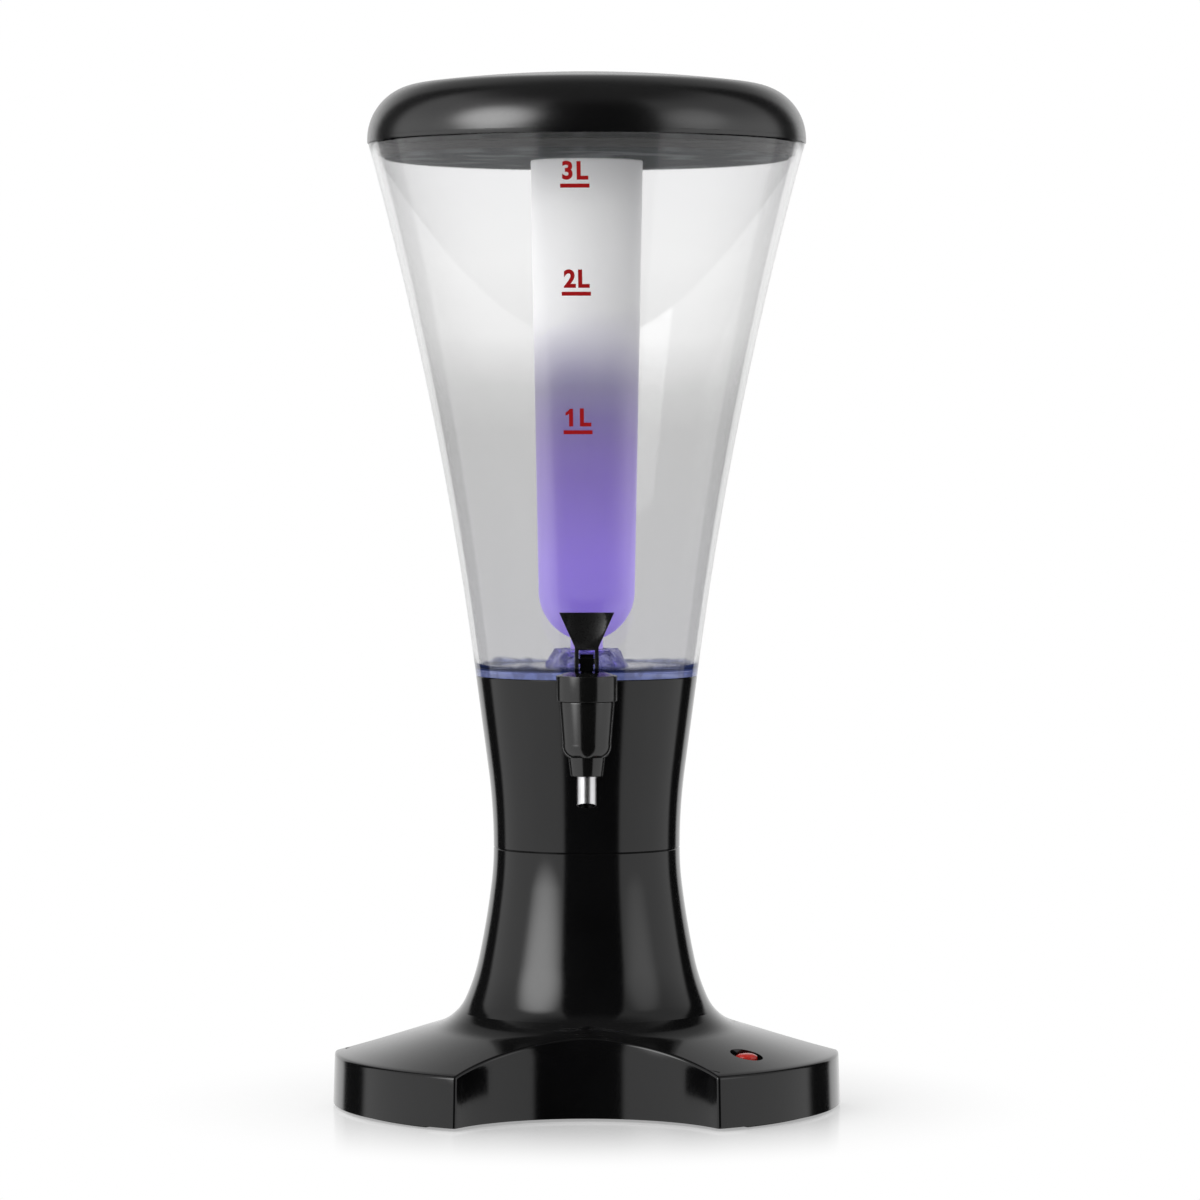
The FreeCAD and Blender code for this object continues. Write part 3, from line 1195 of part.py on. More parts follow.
def make_stem():
    """Stem with its head, seat cup, pin and return spring."""
    stem = new_body("tap_stem", zero, -s.tap_y)
    foot = s.seat_z + s.cup_nose
    head_low = s.bonnet_top_z + s.head_clear
    collar_top = s.stem_collar_z + s.stem_collar
    outline = Outline(new_sketch(stem, "stem_profile"), zero, foot)
    outline.line(s.stem_r, foot).line(s.stem_r, s.stem_collar_z).line(s.stem_collar_r, s.stem_collar_z)
    outline.line(s.stem_collar_r, collar_top).line(s.stem_r, collar_top)
    outline.line(s.stem_r, head_low + s.cut_over).line(zero, head_low + s.cut_over)
    spin(stem, "stem_form", outline.close())
    head = new_sketch(stem, "head_outline", "YZ_Plane", -s.head_width / 2)
    half = s.head_depth / 2
    crest = s.pin_z + s.head_side
    outline = Outline(head, -half, head_low).line(half, head_low).line(half, crest)
    outline.arc(-half, crest, s.head_round, left=True).close()
    raise_up(stem, "head", head, s.head_width)
    hole = new_sketch(stem, "pin_circle", "YZ_Plane", -s.head_width)
    sink(stem, "pin_hole", circles(hole, [(zero, s.pin_z, s.pin_r)]), s.head_width * 2)
    keep(stem)
    cup = new_body("seat_cup", zero, -s.tap_y)
    top = s.seat_z + s.cup_height
    outline = Outline(new_sketch(cup, "cup_profile"), zero, s.seat_z - s.cup_nose)
    outline.line(s.cup_nose_r, s.seat_z - s.cup_nose).line(s.cup_nose_r, s.seat_z).line(s.cup_r, s.seat_z)
    outline.line(s.cup_r, top).line(s.stem_r, top).line(s.stem_r, foot).line(zero, foot)
    spin(cup, "cup", outline.close())
    keep(cup)
    pin = doc.addObject("Part::Cylinder", "handle_pin")
    pin.Label = "handle_pin"
    pin.Placement.Rotation = FreeCAD.Rotation(Vector(0, 1, 0), QUARTER_TURN)
    bind(pin, "Radius", s.pin_r)
    bind(pin, "Height", s.fork_width)
    for letter, size in (("x", -s.fork_width / 2), ("y", -s.tap_y), ("z", s.pin_z)):
        bind(pin, f"Placement.Base.{letter}", size)
    keep(pin)
    spring = new_body("tap_spring", zero, -s.tap_y)
    sketch = new_sketch(spring, "sleeve_profile")
    ring_profile(sketch, s.spring_inner_r, s.spring_outer_r, collar_top, s.bonnet_top_z - s.bonnet_roof)
    spin(spring, "sleeve", sketch)
    keep(spring)


def cam_point(angle):
    """Point of the cam that meets the bonnet when the handle has tilted by an angle."""
    height = s.pin_z - s.bonnet_top_z - s.cam_clear + s.cam_rate * angle * RADIAN
    y = -(height * sine(angle) + s.cam_rate * cosine(angle))
    z = s.cam_rate * sine(angle) - height * cosine(angle)
    return y, z


def make_handle():
    """Paddle handle: fork with cam heels below, thumb paddle above; its own origin is the pin."""
    handle = new_body("handle_form", zero, -s.tap_y, s.pin_z)
    half_angle = s.tilt_range / 2
    height = s.pin_z - s.bonnet_top_z - s.cam_clear
    shoulder = s.shoulder_z - s.pin_z
    top = s.paddle_top - s.pin_z
    side_view = new_sketch(handle, "side_outline", "YZ_Plane", -s.paddle_width / 2)
    outline = Outline(side_view, s.fork_back, -height).line(-s.cam_rate, -height)
    for first, last in ((zero, half_angle), (half_angle, half_angle * 2)):
        radius = height + s.cam_rate * (first + last) * (RADIAN / 2)
        outline.arc(*cam_point(last), radius, left=False)
    outline.line(-s.paddle_thick, shoulder).line(-s.paddle_front, top)
    outline.line(s.paddle_thick - s.paddle_front, top).line(s.fork_back, shoulder)
    raise_up(handle, "side_form", outline.close(), s.paddle_width)
    trim = new_sketch(handle, "front_outlines", "XZ_Plane", -s.paddle_width)
    for side in (1, -1):
        outline = Outline(trim, s.fork_width / 2 * side, -s.paddle_width)
        outline.line(s.fork_width / 2 * side, shoulder)
        outline.line(s.paddle_width / 2 * side, top).line(s.paddle_width * side, top)
        outline.line(s.paddle_width * side, -s.paddle_width).close()
    sink(handle, "front_trim", trim, s.paddle_width * 2)
    slot = new_sketch(handle, "slot_outline", "XZ_Plane", -s.paddle_width)
    rectangle(slot, -s.fork_gap / 2, -s.paddle_width, s.fork_gap / 2, s.crotch_rise)
    sink(handle, "fork_slot", slot, s.paddle_width * 2)
    hole = new_sketch(handle, "pin_circle", "YZ_Plane", -s.fork_width)
    sink(handle, "pin_hole", circles(hole, [(zero, zero, s.pin_r + s.run_gap)]), s.fork_width * 2)
    scoop = doc.addObject("Part::Sphere", "thumb_scoop")
    bind(scoop, "Radius", s.scoop_r)
    reach = s.tap_y + s.paddle_front + s.scoop_r - s.scoop_depth
    for letter, size in (("y", -reach), ("z", s.paddle_top)):
        bind(scoop, f"Placement.Base.{letter}", size)
    return keep(cut("tap_handle", handle, scoop))


def make_ice_tube():
    """Closed-end tube that holds the ice and stands in the crown."""
    tube = new_body("ice_tube")
    inner_knee = s.tube_knee_r - s.tube_wall
    rise = s.tube_knee_z - s.tube_inner_z
    outline = Outline(new_sketch(tube, "tube_profile"), zero, s.peg_z)
    outline.line(s.peg_r, s.peg_z).line(s.peg_r, s.tube_foot_z)
    outline.arc(s.tube_knee_r, s.tube_knee_z, s.tube_round, left=True)
    outline.line(s.tube_mouth_r, tube_mouth_z).line(s.tube_mouth_r - s.tube_wall, tube_mouth_z)
    outline.line(inner_knee, s.tube_knee_z)
    outline.arc(zero, s.tube_inner_z, (inner_knee * inner_knee + rise * rise) / (rise * 2), left=False)
    spin(tube, "tube", outline.close())
    return keep(tube)


def make_lid():
    """Lid cover, the underpan inside it and the gasket round the pan."""
    cover = new_body("lid_cover")
    outline = Outline(new_sketch(cover, "cover_profile"), zero, lid_apex)
    inner_r = lid_r - s.lid_wall
    hub_z = lid_apex.value - s.dome_sweep.value
    shoulder_x = lid_r.value - s.shoulder_round.value
    between = s.dome_sweep.value - s.shoulder_round.value
    shoulder_z = hub_z + math.sqrt(between ** 2 - shoulder_x ** 2)

    def meet(radius):
        return Near(shoulder_x / between * radius), Near(hub_z + (shoulder_z - hub_z) / between * radius)

    outline.arc(*meet(s.dome_sweep.value), s.dome_sweep, left=False, centre="axis")
    outline.arc(lid_r, Near(shoulder_z), s.shoulder_round, left=False, smooth=True)
    outline.line(lid_r, s.rim_z, smooth=True).line(inner_r, s.rim_z).line(inner_r, Near(shoulder_z))
    inner_dome = s.dome_sweep - s.lid_wall
    outline.arc(*meet(inner_dome.value), s.shoulder_round - s.lid_wall, left=True, smooth=True)
    outline.arc(zero, lid_apex - s.lid_wall, inner_dome, left=True, smooth=True, centre="axis")
    spin(cover, "cover", outline.close())
    keep(cover)
    pan = new_body("lid_underpan")
    plug_r = s.tube_mouth_r - s.tube_wall - s.slip_gap
    plug_z = tube_mouth_z - s.plug_length
    flange_low = s.rim_z + s.pan_gap
    inside = pan_r - s.pan_wall
    floor = tube_mouth_z + s.pan_wall
    outline = Outline(new_sketch(pan, "pan_profile"), zero, tube_mouth_z)
    outline.line(plug_r - s.plug_wall, tube_mouth_z).line(plug_r - s.plug_wall, plug_z)
    outline.line(plug_r, plug_z).line(plug_r, tube_mouth_z).line(pan_r, tube_mouth_z).line(pan_r, flange_low)
    outline.line(inner_r, flange_low).line(inner_r, flange_low + s.pan_flange)
    outline.line(inside, flange_low + s.pan_flange).line(inside, floor).line(zero, floor)
    spin(pan, "pan", outline.close())
    keep(pan)
    gasket = new_body("lid_gasket")
    low = tube_mouth_z + s.gasket_low
    high = low + s.gasket_height
    wall = s.rim_r - s.tank_wall - s.slip_gap
    outline = Outline(new_sketch(gasket, "gasket_profile"), pan_r, low)
    outline.line(wall - (s.rim_z - low) * s.rim_slope, low).line(wall - (s.rim_z - high) * s.rim_slope, high)
    outline.line(pan_r, high)
    spin(gasket, "gasket", outline.close())
    keep(gasket)


def lead(label, points):
    """Insulated lead along straight runs joined by tangent arcs."""
    places = [Vector(*(as_size(value).value for value in point)) for point in points]
    edges = []
    radii = []
    here = places[0]
    for before, corner, after in zip(places, places[1:], places[2:]):
        back, ahead = (before - corner), (after - corner)
        shorter = min(back.Length, ahead.Length)
        turn = math.pi - back.getAngle(ahead)
        tangent = BEND_SHARE * shorter
        radius = tangent / math.tan(turn / 2)
        begin = corner + back.normalize() * tangent
        finish = corner + ahead.normalize() * tangent
        inward = (back + ahead).normalize()
        mean = corner + inward * (radius / math.cos(turn / 2) - radius)
        edges += [Part.LineSegment(here, begin).toShape(), Part.Arc(begin, mean, finish).toShape()]
        radii.append(radius)
        here = finish
    edges.append(Part.LineSegment(here, places[-1]).toShape())
    path = Part.Wire(edges)
    way = (places[1] - places[0]).normalize()
    hoop = Part.Wire(Part.Circle(places[0], way, s.lead_r.value).toShape())
    tube = doc.addObject("Part::Feature", label)
    tube.Label = label
    tube.Shape = path.makePipeShell([hoop], True, False)
    ratio = tube.Shape.Volume / (math.pi * s.lead_r.value ** 2 * path.Length)
    print(f"{label}: {path.Length:.0f} mm, tightest bend {min(radii):.1f} mm, volume ratio {ratio:.4f}")
    return tube


def make_leads():
    """Battery to switch, switch to lamp, and battery to lamp."""
    wall_y = s.tray_y - tray_half_y
    side_x = power_x - s.terminal_thick / 2
    low_z = s.switch_bottom - s.terminal_length / 2
    near_y, far_y = power_y + s.terminal_side, power_y - s.terminal_side
    board = s.post_top
    bore_x = post_bore / 2
    start_y = wall_y - s.lead_run
    turn_x = side_x - s.lead_run
    keep(lead("lead_red", [
        (cell_pitch, wall_y, cell_z), (cell_pitch, start_y, cell_z), *RED_ROUTE,
        (turn_x, near_y, low_z), (side_x, near_y, low_z),
    ]))
    keep(lead("lead_link", [
        (side_x, far_y, low_z), (turn_x, far_y, low_z), *LINK_ROUTE,
        *[(bore_x, y, z) for y, z in LINK_RISE], (bore_x, 0, board),
    ]))
    keep(lead("lead_black", [
        (-cell_pitch, wall_y, cell_z), (-cell_pitch, start_y, cell_z), *BLACK_ROUTE,
        *[(-bore_x, y, z) for y, z in BLACK_RISE], (-bore_x, 0, board),
    ]))


make_base_shell()
make_base_plate()
make_base_screws()
make_foot_pads()
make_battery()
make_battery_door()
make_switch()
make_lamp()
make_neck()
make_tank()
make_light_crown()
make_outlet()
make_gaskets()
make_tap_body()
make_spout()
make_bonnet()
make_stem()
make_handle()
make_ice_tube()
make_lid()
make_leads()
doc.recompute()

# Every object and every sub-part is checked before anything is written
for item in doc.Objects:
    if "Invalid" in item.State or "Error" in item.State:
        raise RuntimeError(f"{item.Label} is {item.State}")
labels = [node.Label for node in nodes]
if len(set(labels)) != len(labels):
    raise RuntimeError("two sub-parts share a name")
for node in nodes:
    if node.Shape.isNull() or not node.Shape.isValid() or not node.Shape.Solids:
        raise RuntimeError(f"{node.Label} has no sound solid")

os.makedirs("parts", exist_ok=True)
for node in nodes:
    node.Shape.exportStep(f"parts/{node.Label}.step")
print(f"{len(nodes)} sub-parts written")
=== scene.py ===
import json
import logging
import math
import random
from dataclasses import dataclass
from enum import Enum
from typing import Iterable, Sequence

import bpy
from mathutils import Matrix, Vector

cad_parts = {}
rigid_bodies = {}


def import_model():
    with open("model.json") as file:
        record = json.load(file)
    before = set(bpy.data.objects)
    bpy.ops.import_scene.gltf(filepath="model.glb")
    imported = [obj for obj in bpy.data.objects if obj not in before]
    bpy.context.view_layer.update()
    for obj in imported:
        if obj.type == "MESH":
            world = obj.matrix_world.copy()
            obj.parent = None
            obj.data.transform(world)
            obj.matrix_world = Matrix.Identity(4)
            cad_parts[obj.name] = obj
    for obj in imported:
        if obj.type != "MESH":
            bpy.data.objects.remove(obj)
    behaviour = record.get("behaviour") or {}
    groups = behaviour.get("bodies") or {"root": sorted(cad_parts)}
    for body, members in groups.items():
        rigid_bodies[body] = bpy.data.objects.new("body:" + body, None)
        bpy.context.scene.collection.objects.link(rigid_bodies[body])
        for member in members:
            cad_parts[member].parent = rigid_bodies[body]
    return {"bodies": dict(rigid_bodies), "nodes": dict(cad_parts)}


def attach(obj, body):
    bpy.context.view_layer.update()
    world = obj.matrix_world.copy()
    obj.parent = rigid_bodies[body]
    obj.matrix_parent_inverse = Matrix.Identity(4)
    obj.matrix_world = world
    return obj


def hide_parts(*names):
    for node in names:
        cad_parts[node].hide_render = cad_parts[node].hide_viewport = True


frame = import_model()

LOG = logging.getLogger("beer_tower")
Point = tuple[float, float]
Place = tuple[float, float, float]
Colour = tuple[float, float, float]

# Sizes in mm that several pieces share
MM = 0.001
SEAM_Z = 120.0
WAIST_R = 43.4
FLOOR_Z = 200.0
FLOOR_R = 51.6
RIM_Z = 447.0
RIM_R = 101.5
LID_R = 101.9
SEAM_EDGE = 0.45
BUTTON_AT = (72.72, -63.44)
SCREW_RING = 41.0
SCREW_TURNS = (-30, 90, 210)


def sweep_stray() -> None:
    """Remove what Blender's own start scene holds besides the frame."""
    known = set(frame["nodes"].values()) | set(frame["bodies"].values())
    for thing in list(bpy.data.objects):
        if thing not in known:
            bpy.data.objects.remove(thing)


sweep_stray()
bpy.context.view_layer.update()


# Outlines that are turned into round pieces


def in_metres(points: Iterable[Point]) -> list[Point]:
    """Points given in mm, in metres."""
    return [(across * MM, along * MM) for across, along in points]


def on_ring(radius: float, degrees: float) -> Place:
    """The place in metres on a level ring about the tower's axis, given in mm."""
    angle = math.radians(degrees)
    return (radius * math.cos(angle) * MM, radius * math.sin(angle) * MM, 0.0)


def bend(start: Point, end: Point, radius: float, left: bool, steps: int) -> list[Point]:
    """Points along an arc between two points, without its start.

    Args:
        start: First point, as radius and height.
        end: Last point.
        radius: Radius of the arc.
        left: Whether the arc turns left on its way.
        steps: Number of chords.

    Returns:
        The points after the start, the end among them.
    """
    chord = Vector(end) - Vector(start)
    height = math.sqrt(max(radius * radius - chord.length_squared / 4, 0.0))
    across = Vector((-chord.y, chord.x)).normalized() * (height if left else -height)
    hub = (Vector(start) + Vector(end)) / 2 + across
    first = math.atan2(start[1] - hub.y, start[0] - hub.x)
    last = math.atan2(end[1] - hub.y, end[0] - hub.x)
    turn = (last - first + math.pi) % math.tau - math.pi
    angles = [first + turn * index / steps for index in range(1, steps + 1)]
    return [(hub.x + radius * math.cos(a), hub.y + radius * math.sin(a)) for a in angles]


def soften(corners: Sequence[tuple[float, ...]], closed: bool = True, steps: int = 5) -> list[Point]:
    """Round the corners of an outline.

    Args:
        corners: Corners as (radius, height) or (radius, height, rounding).
        closed: Whether the last corner joins the first.
        steps: Chords in each rounding.

    Returns:
        The outline's points.
    """
    points: list[Point] = []
    count = len(corners)
    for index, corner in enumerate(corners):
        here = Vector(corner[:2])
        rounding = corner[2] if len(corner) > 2 else 0.0
        if rounding <= 0 or (not closed and index in (0, count - 1)):
            points.append((here.x, here.y))
            continue
        before = (Vector(corners[index - 1][:2]) - here).normalized()
        after = (Vector(corners[(index + 1) % count][:2]) - here).normalized()
        half = before.angle(after) / 2
        reach = rounding / math.tan(half)
        begin, end = here + before * reach, here + after * reach
        turn = before.x * after.y - before.y * after.x
        points.append((begin.x, begin.y))
        points += bend((begin.x, begin.y), (end.x, end.y), rounding, turn < 0, steps)
    return points


class Axis(Enum):
    """Direction that a round piece is turned about."""

    UPRIGHT = (0.0, 0.0, 1.0)
    LEVEL = (0.0, 1.0, 0.0)


class Bench:
    """Modelling steps that the sub-assemblies share."""

    @staticmethod
    def clear() -> None:
        """Leave edit mode and deselect everything."""
        if bpy.context.object and bpy.context.object.mode != "OBJECT":
            bpy.ops.object.mode_set(mode="OBJECT")
        bpy.ops.object.select_all(action="DESELECT")

    @staticmethod
    def hold(piece: bpy.types.Object) -> None:
        """Make one piece the only selected and active one."""
        Bench.clear()
        piece.select_set(True)
        bpy.context.view_layer.objects.active = piece

    @staticmethod
    def settle(piece: bpy.types.Object) -> None:
        """Apply the piece's place, turn and scale to its mesh."""
        Bench.hold(piece)
        bpy.ops.object.transform_apply(location=True, rotation=True, scale=True)

    @staticmethod
    def smooth(piece: bpy.types.Object, degrees: float = 32.0) -> None:
        """Shade smooth up to an angle between faces."""
        Bench.hold(piece)
        bpy.ops.object.shade_smooth_by_angle(angle=math.radians(degrees))

    @staticmethod
    def modify(piece: bpy.types.Object, kind: str, **settings: object) -> None:
        """Add one modifier with its settings and apply it."""
        Bench.hold(piece)
        modifier = piece.modifiers.new(kind.title(), kind)
        for key, value in settings.items():
            setattr(modifier, key, value)
        bpy.ops.object.modifier_apply(modifier=modifier.name)

    @staticmethod
    def turn(
        name: str,
        outline: Sequence[Point],
        hub: Place = (0.0, 0.0, 0.0),
        steps: int = 128,
        axis: Axis = Axis.UPRIGHT,
        closed: bool = True,
    ) -> bpy.types.Object:
        """Turn an outline into a round piece.

        Args:
            name: Name of the piece.
            outline: Points in metres, as distance from the axis and place along it.
            hub: A point on the axis.
            steps: Sectors round the axis.
            axis: Direction of the axis.
            closed: Whether the outline closes on itself, which one that ends on the axis twice doesn't.

        Returns:
            The finished piece.
        """
        Bench.clear()

        def place(point: Point) -> Vector:
            along = Vector(axis.value) * point[1]
            return Vector(hub) + Vector((point[0], 0.0, 0.0)) + along

        bpy.ops.mesh.primitive_plane_add(size=MM, location=place(outline[0]))
        piece = bpy.context.object
        piece.name = name
        bpy.ops.object.mode_set(mode="EDIT")
        bpy.ops.mesh.select_all(action="SELECT")
        bpy.ops.mesh.merge(type="CENTER")
        closed = closed and outline[0][0] + outline[-1][0] > 0
        route = list(outline[1:]) + ([outline[0]] if closed else [])
        here = place(outline[0])
        for point in route:
            step = place(point) - here
            bpy.ops.mesh.extrude_region_move(TRANSFORM_OT_translate={"value": step})
            here = here + step
        bpy.ops.mesh.select_all(action="SELECT")
        bpy.ops.mesh.spin(steps=steps, angle=math.tau, center=hub, axis=axis.value)
        bpy.ops.mesh.select_all(action="SELECT")
        bpy.ops.mesh.remove_doubles(threshold=2e-6)
        bpy.ops.mesh.dissolve_degenerate(threshold=1e-7)
        bpy.ops.mesh.select_all(action="SELECT")
        bpy.ops.mesh.normals_make_consistent(inside=False)
        bpy.ops.object.mode_set(mode="OBJECT")
        Bench.settle(piece)
        Bench.smooth(piece)
        return piece

    @staticmethod
    def face_out(piece: bpy.types.Object) -> None:
        """Turn an open round piece's faces away from the upright axis."""
        outward = sum(face.normal.dot((face.center.x, face.center.y, 0.0)) for face in piece.data.polygons)
        if outward < 0:
            Bench.hold(piece)
            bpy.ops.object.mode_set(mode="EDIT")
            bpy.ops.mesh.select_all(action="SELECT")
            bpy.ops.mesh.flip_normals()
            bpy.ops.object.mode_set(mode="OBJECT")

    @staticmethod
    def drill(
        piece: bpy.types.Object,
        place: Place,
        radius: float,
        depth: float,
        lean: float = 0.0,
    ) -> None:
        """Cut a round hole through a piece.

        Args:
            piece: Piece that is cut.
            place: Middle of the hole.
            radius: Radius of the hole.
            depth: Length of the cutter.
            lean: Turn of the hole about X in radians; 0 is upright.
        """
        Bench.clear()
        bpy.ops.mesh.primitive_cylinder_add(
            vertices=48, radius=radius, depth=depth, location=place, rotation=(lean, 0.0, 0.0)
        )
        Bench.cut(piece, bpy.context.object)

    @staticmethod
    def cut(piece: bpy.types.Object, cutter: bpy.types.Object) -> None:
        """Take a cutter's shape out of a piece and remove the cutter."""
        Bench.modify(piece, "BOOLEAN", operation="DIFFERENCE", object=cutter, solver="EXACT")
        bpy.data.objects.remove(cutter)

    @staticmethod
    def copy_of(node: str, name: str, bevel: float, segments: int = 3) -> bpy.types.Object:
        """A copy of a CAD node with clean faces and softened edges.

        Args:
            node: CAD node that is copied.
            name: Name of the new piece.
            bevel: Width of the softened edges in metres.
            segments: Chords across an edge.

        Returns:
            The finished piece.
        """
        source = frame["nodes"][node]
        piece = bpy.data.objects.new(name, source.data.copy())
        bpy.context.scene.collection.objects.link(piece)
        Bench.hold(piece)
        bpy.ops.mesh.customdata_custom_splitnormals_clear()
        bpy.ops.object.mode_set(mode="EDIT")
        bpy.ops.mesh.select_all(action="SELECT")
        bpy.ops.mesh.remove_doubles(threshold=1e-6)
        bpy.ops.mesh.dissolve_limited(angle_limit=math.radians(0.6))
        bpy.ops.object.mode_set(mode="OBJECT")
        if bevel > 0:
            Bench.modify(
                piece, "BEVEL", width=bevel, segments=segments, limit_method="ANGLE",
                angle_limit=math.radians(38), use_clamp_overlap=True,
            )
        Bench.smooth(piece)
        return piece


# Shader graphs


class Graph:
    """A node tree that is put together call by call."""

    def __init__(self, tree: bpy.types.NodeTree) -> None:
        """Start on a tree."""
        self.tree = tree

    def add(self, kind: str, inputs: dict | None = None, **settings: object) -> bpy.types.Node:
        """Add a node.

        Args:
            kind: Blender's name of the node type.
            inputs: Socket name or number to a value or to another node's output.
            settings: Properties of the node.

        Returns:
            The new node.
        """
        node = self.tree.nodes.new(kind)
        for key, value in settings.items():
            setattr(node, key, value)
        for key, value in (inputs or {}).items():
            if isinstance(value, bpy.types.NodeSocket):
                self.tree.links.new(value, node.inputs[key])
            else:
                node.inputs[key].default_value = value
        return node

    def sum(self, operation: str, *values: object, clamp: bool = False) -> bpy.types.NodeSocket:
        """A math node's result."""
        node = self.add("ShaderNodeMath", dict(enumerate(values)), operation=operation, use_clamp=clamp)
        return node.outputs[0]

    def spread(
        self, value: object, low: float, high: float, to_low: float, to_high: float, soft: bool = False
    ) -> bpy.types.NodeSocket:
        """Map one range of values onto another, clamped at both ends."""
        shape = "SMOOTHSTEP" if soft else "LINEAR"
        node = self.add("ShaderNodeMapRange", {0: value, 1: low, 2: high, 3: to_low, 4: to_high})
        node.interpolation_type = shape
        return node.outputs[0]

    def blend(self, factor: object, first: object, second: object) -> bpy.types.NodeSocket:
        """Mix two colours."""
        node = self.add("ShaderNodeMix", data_type="RGBA")
        for key, value in ((0, factor), (6, first), (7, second)):
            if isinstance(value, bpy.types.NodeSocket):
                self.tree.links.new(value, node.inputs[key])
            elif key == 0:
                node.inputs[key].default_value = value
            else:
                node.inputs[key].default_value = (*value, 1.0)
        return node.outputs[2]

    def ramp(self, value: object, stops: Sequence[tuple[float, Colour]]) -> bpy.types.NodeSocket:
        """A colour ramp's result."""
        node = self.add("ShaderNodeValToRGB", {0: value})
        elements = node.color_ramp.elements
        while len(elements) < len(stops):
            elements.new(0.5)
        for element, (position, colour) in zip(elements, stops):
            element.position = position
            element.color = (*colour, 1.0)
        return node.outputs[0]

    def place(self) -> bpy.types.NodeSocket:
        """The place on the object."""
        return self.add("ShaderNodeTexCoord").outputs["Object"]

    def noise(self, place: object, scale: object, detail: float = 2.0) -> bpy.types.NodeSocket:
        """The value of a noise at a place."""
        return self.add("ShaderNodeTexNoise", {"Vector": place, "Scale": scale, "Detail": detail}).outputs[0]

    def part(self, vector: object, axis: int) -> bpy.types.NodeSocket:
        """One part of a vector: 0 for X, 1 for Y, 2 for Z."""
        return self.add("ShaderNodeSeparateXYZ", {0: vector}).outputs[axis]

    def vector(self, operation: str, first: object, second: object) -> bpy.types.NodeSocket:
        """The vector that an operation on two vectors gives."""
        return self.add("ShaderNodeVectorMath", {0: first, 1: second}, operation=operation).outputs[0]

    def length(self, vector: object) -> bpy.types.NodeSocket:
        """The length of a vector."""
        return self.add("ShaderNodeVectorMath", {0: vector}, operation="LENGTH").outputs["Value"]

    def bump(self, height: object, distance: float, strength: float = 1.0) -> bpy.types.NodeSocket:
        """The normal of a surface with a fine relief."""
        inputs = {"Height": height, "Distance": distance, "Strength": strength}
        return self.add("ShaderNodeBump", inputs).outputs[0]

    def feed(self, node: bpy.types.Node, sockets: dict[str, object]) -> None:
        """Link sockets to a node's inputs, or set plain values on them."""
        for key, value in sockets.items():
            if isinstance(value, bpy.types.NodeSocket):
                self.tree.links.new(value, node.inputs[key])
            else:
                node.inputs[key].default_value = value


class SharedGroups:
    """Surface effects that several finishes use as node groups."""

    _made: dict[str, bpy.types.NodeTree] = {}

    @classmethod
    def _start(
        cls, name: str, takes: Sequence[str], gives: Sequence[str]
    ) -> tuple[Graph, bpy.types.Node, bpy.types.Node]:
        """A new group of plain values with its input and output nodes."""
        tree = bpy.data.node_groups.new(name, "ShaderNodeTree")
        for socket in takes:
            tree.interface.new_socket(socket, in_out="INPUT", socket_type="NodeSocketFloat")
        for socket in gives:
            tree.interface.new_socket(socket, in_out="OUTPUT", socket_type="NodeSocketFloat")
        graph = Graph(tree)
        return graph, graph.add("NodeGroupInput"), graph.add("NodeGroupOutput")

    @classmethod
    def grain(cls) -> bpy.types.NodeTree:
        """Moulded surface: slow mottling, fine grain and the height of both."""
        if "grain" not in cls._made:
            takes, gives = ("Scale", "Fine Scale"), ("Mottle", "Fine", "Height")
            graph, start, end = cls._start("moulded_grain", takes, gives)
            place = graph.place()
            slow = graph.noise(place, start.outputs[0], 3.0)
            fine = graph.noise(place, start.outputs[1])
            height = graph.sum("ADD", graph.sum("MULTIPLY", slow, 0.6), graph.sum("MULTIPLY", fine, 0.4))
            for index, socket in enumerate((graph.spread(slow, 0.3, 0.7, 0.0, 1.0), fine, height)):
                graph.tree.links.new(socket, end.inputs[index])
            cls._made["grain"] = graph.tree
        return cls._made["grain"]

    @classmethod
    def dust(cls) -> bpy.types.NodeTree:
        """Mask of the thin dust that settles on faces that look up."""
        if "dust" not in cls._made:
            graph, start, end = cls._start("settled_dust", ("Amount",), ("Mask",))
            normal = graph.add("ShaderNodeNewGeometry").outputs["Normal"]
            up = graph.part(normal, 2)
            place = graph.place()
            specks = graph.noise(place, 900.0, 4.0)
            clouds = graph.noise(place, 24.0)
            mask = graph.sum("MULTIPLY", graph.spread(up, 0.3, 0.95, 0.0, 1.0, True), start.outputs[0])
            mask = graph.sum("MULTIPLY", mask, graph.spread(specks, 0.48, 0.72, 0.15, 1.0))
            mask = graph.sum("MULTIPLY", mask, graph.spread(clouds, 0.35, 0.65, 0.3, 1.0), clamp=True)
            graph.tree.links.new(mask, end.inputs[0])
            cls._made["dust"] = graph.tree
        return cls._made["dust"]

    @classmethod
    def wear(cls) -> bpy.types.NodeTree:
        """Mask of the handling marks along raised edges."""
        if "wear" not in cls._made:
            graph, start, end = cls._start("edge_wear", ("Amount",), ("Mask",))
            raised = graph.add("ShaderNodeNewGeometry").outputs["Pointiness"]
            breaks = graph.noise(graph.place(), 260.0, 5.0)
            mask = graph.sum("MULTIPLY", graph.spread(raised, 0.53, 0.62, 0.0, 1.0), start.outputs[0])
            mask = graph.sum("MULTIPLY", mask, graph.spread(breaks, 0.4, 0.65, 0.1, 1.0), clamp=True)
            graph.tree.links.new(mask, end.inputs[0])
            cls._made["wear"] = graph.tree
        return cls._made["wear"]


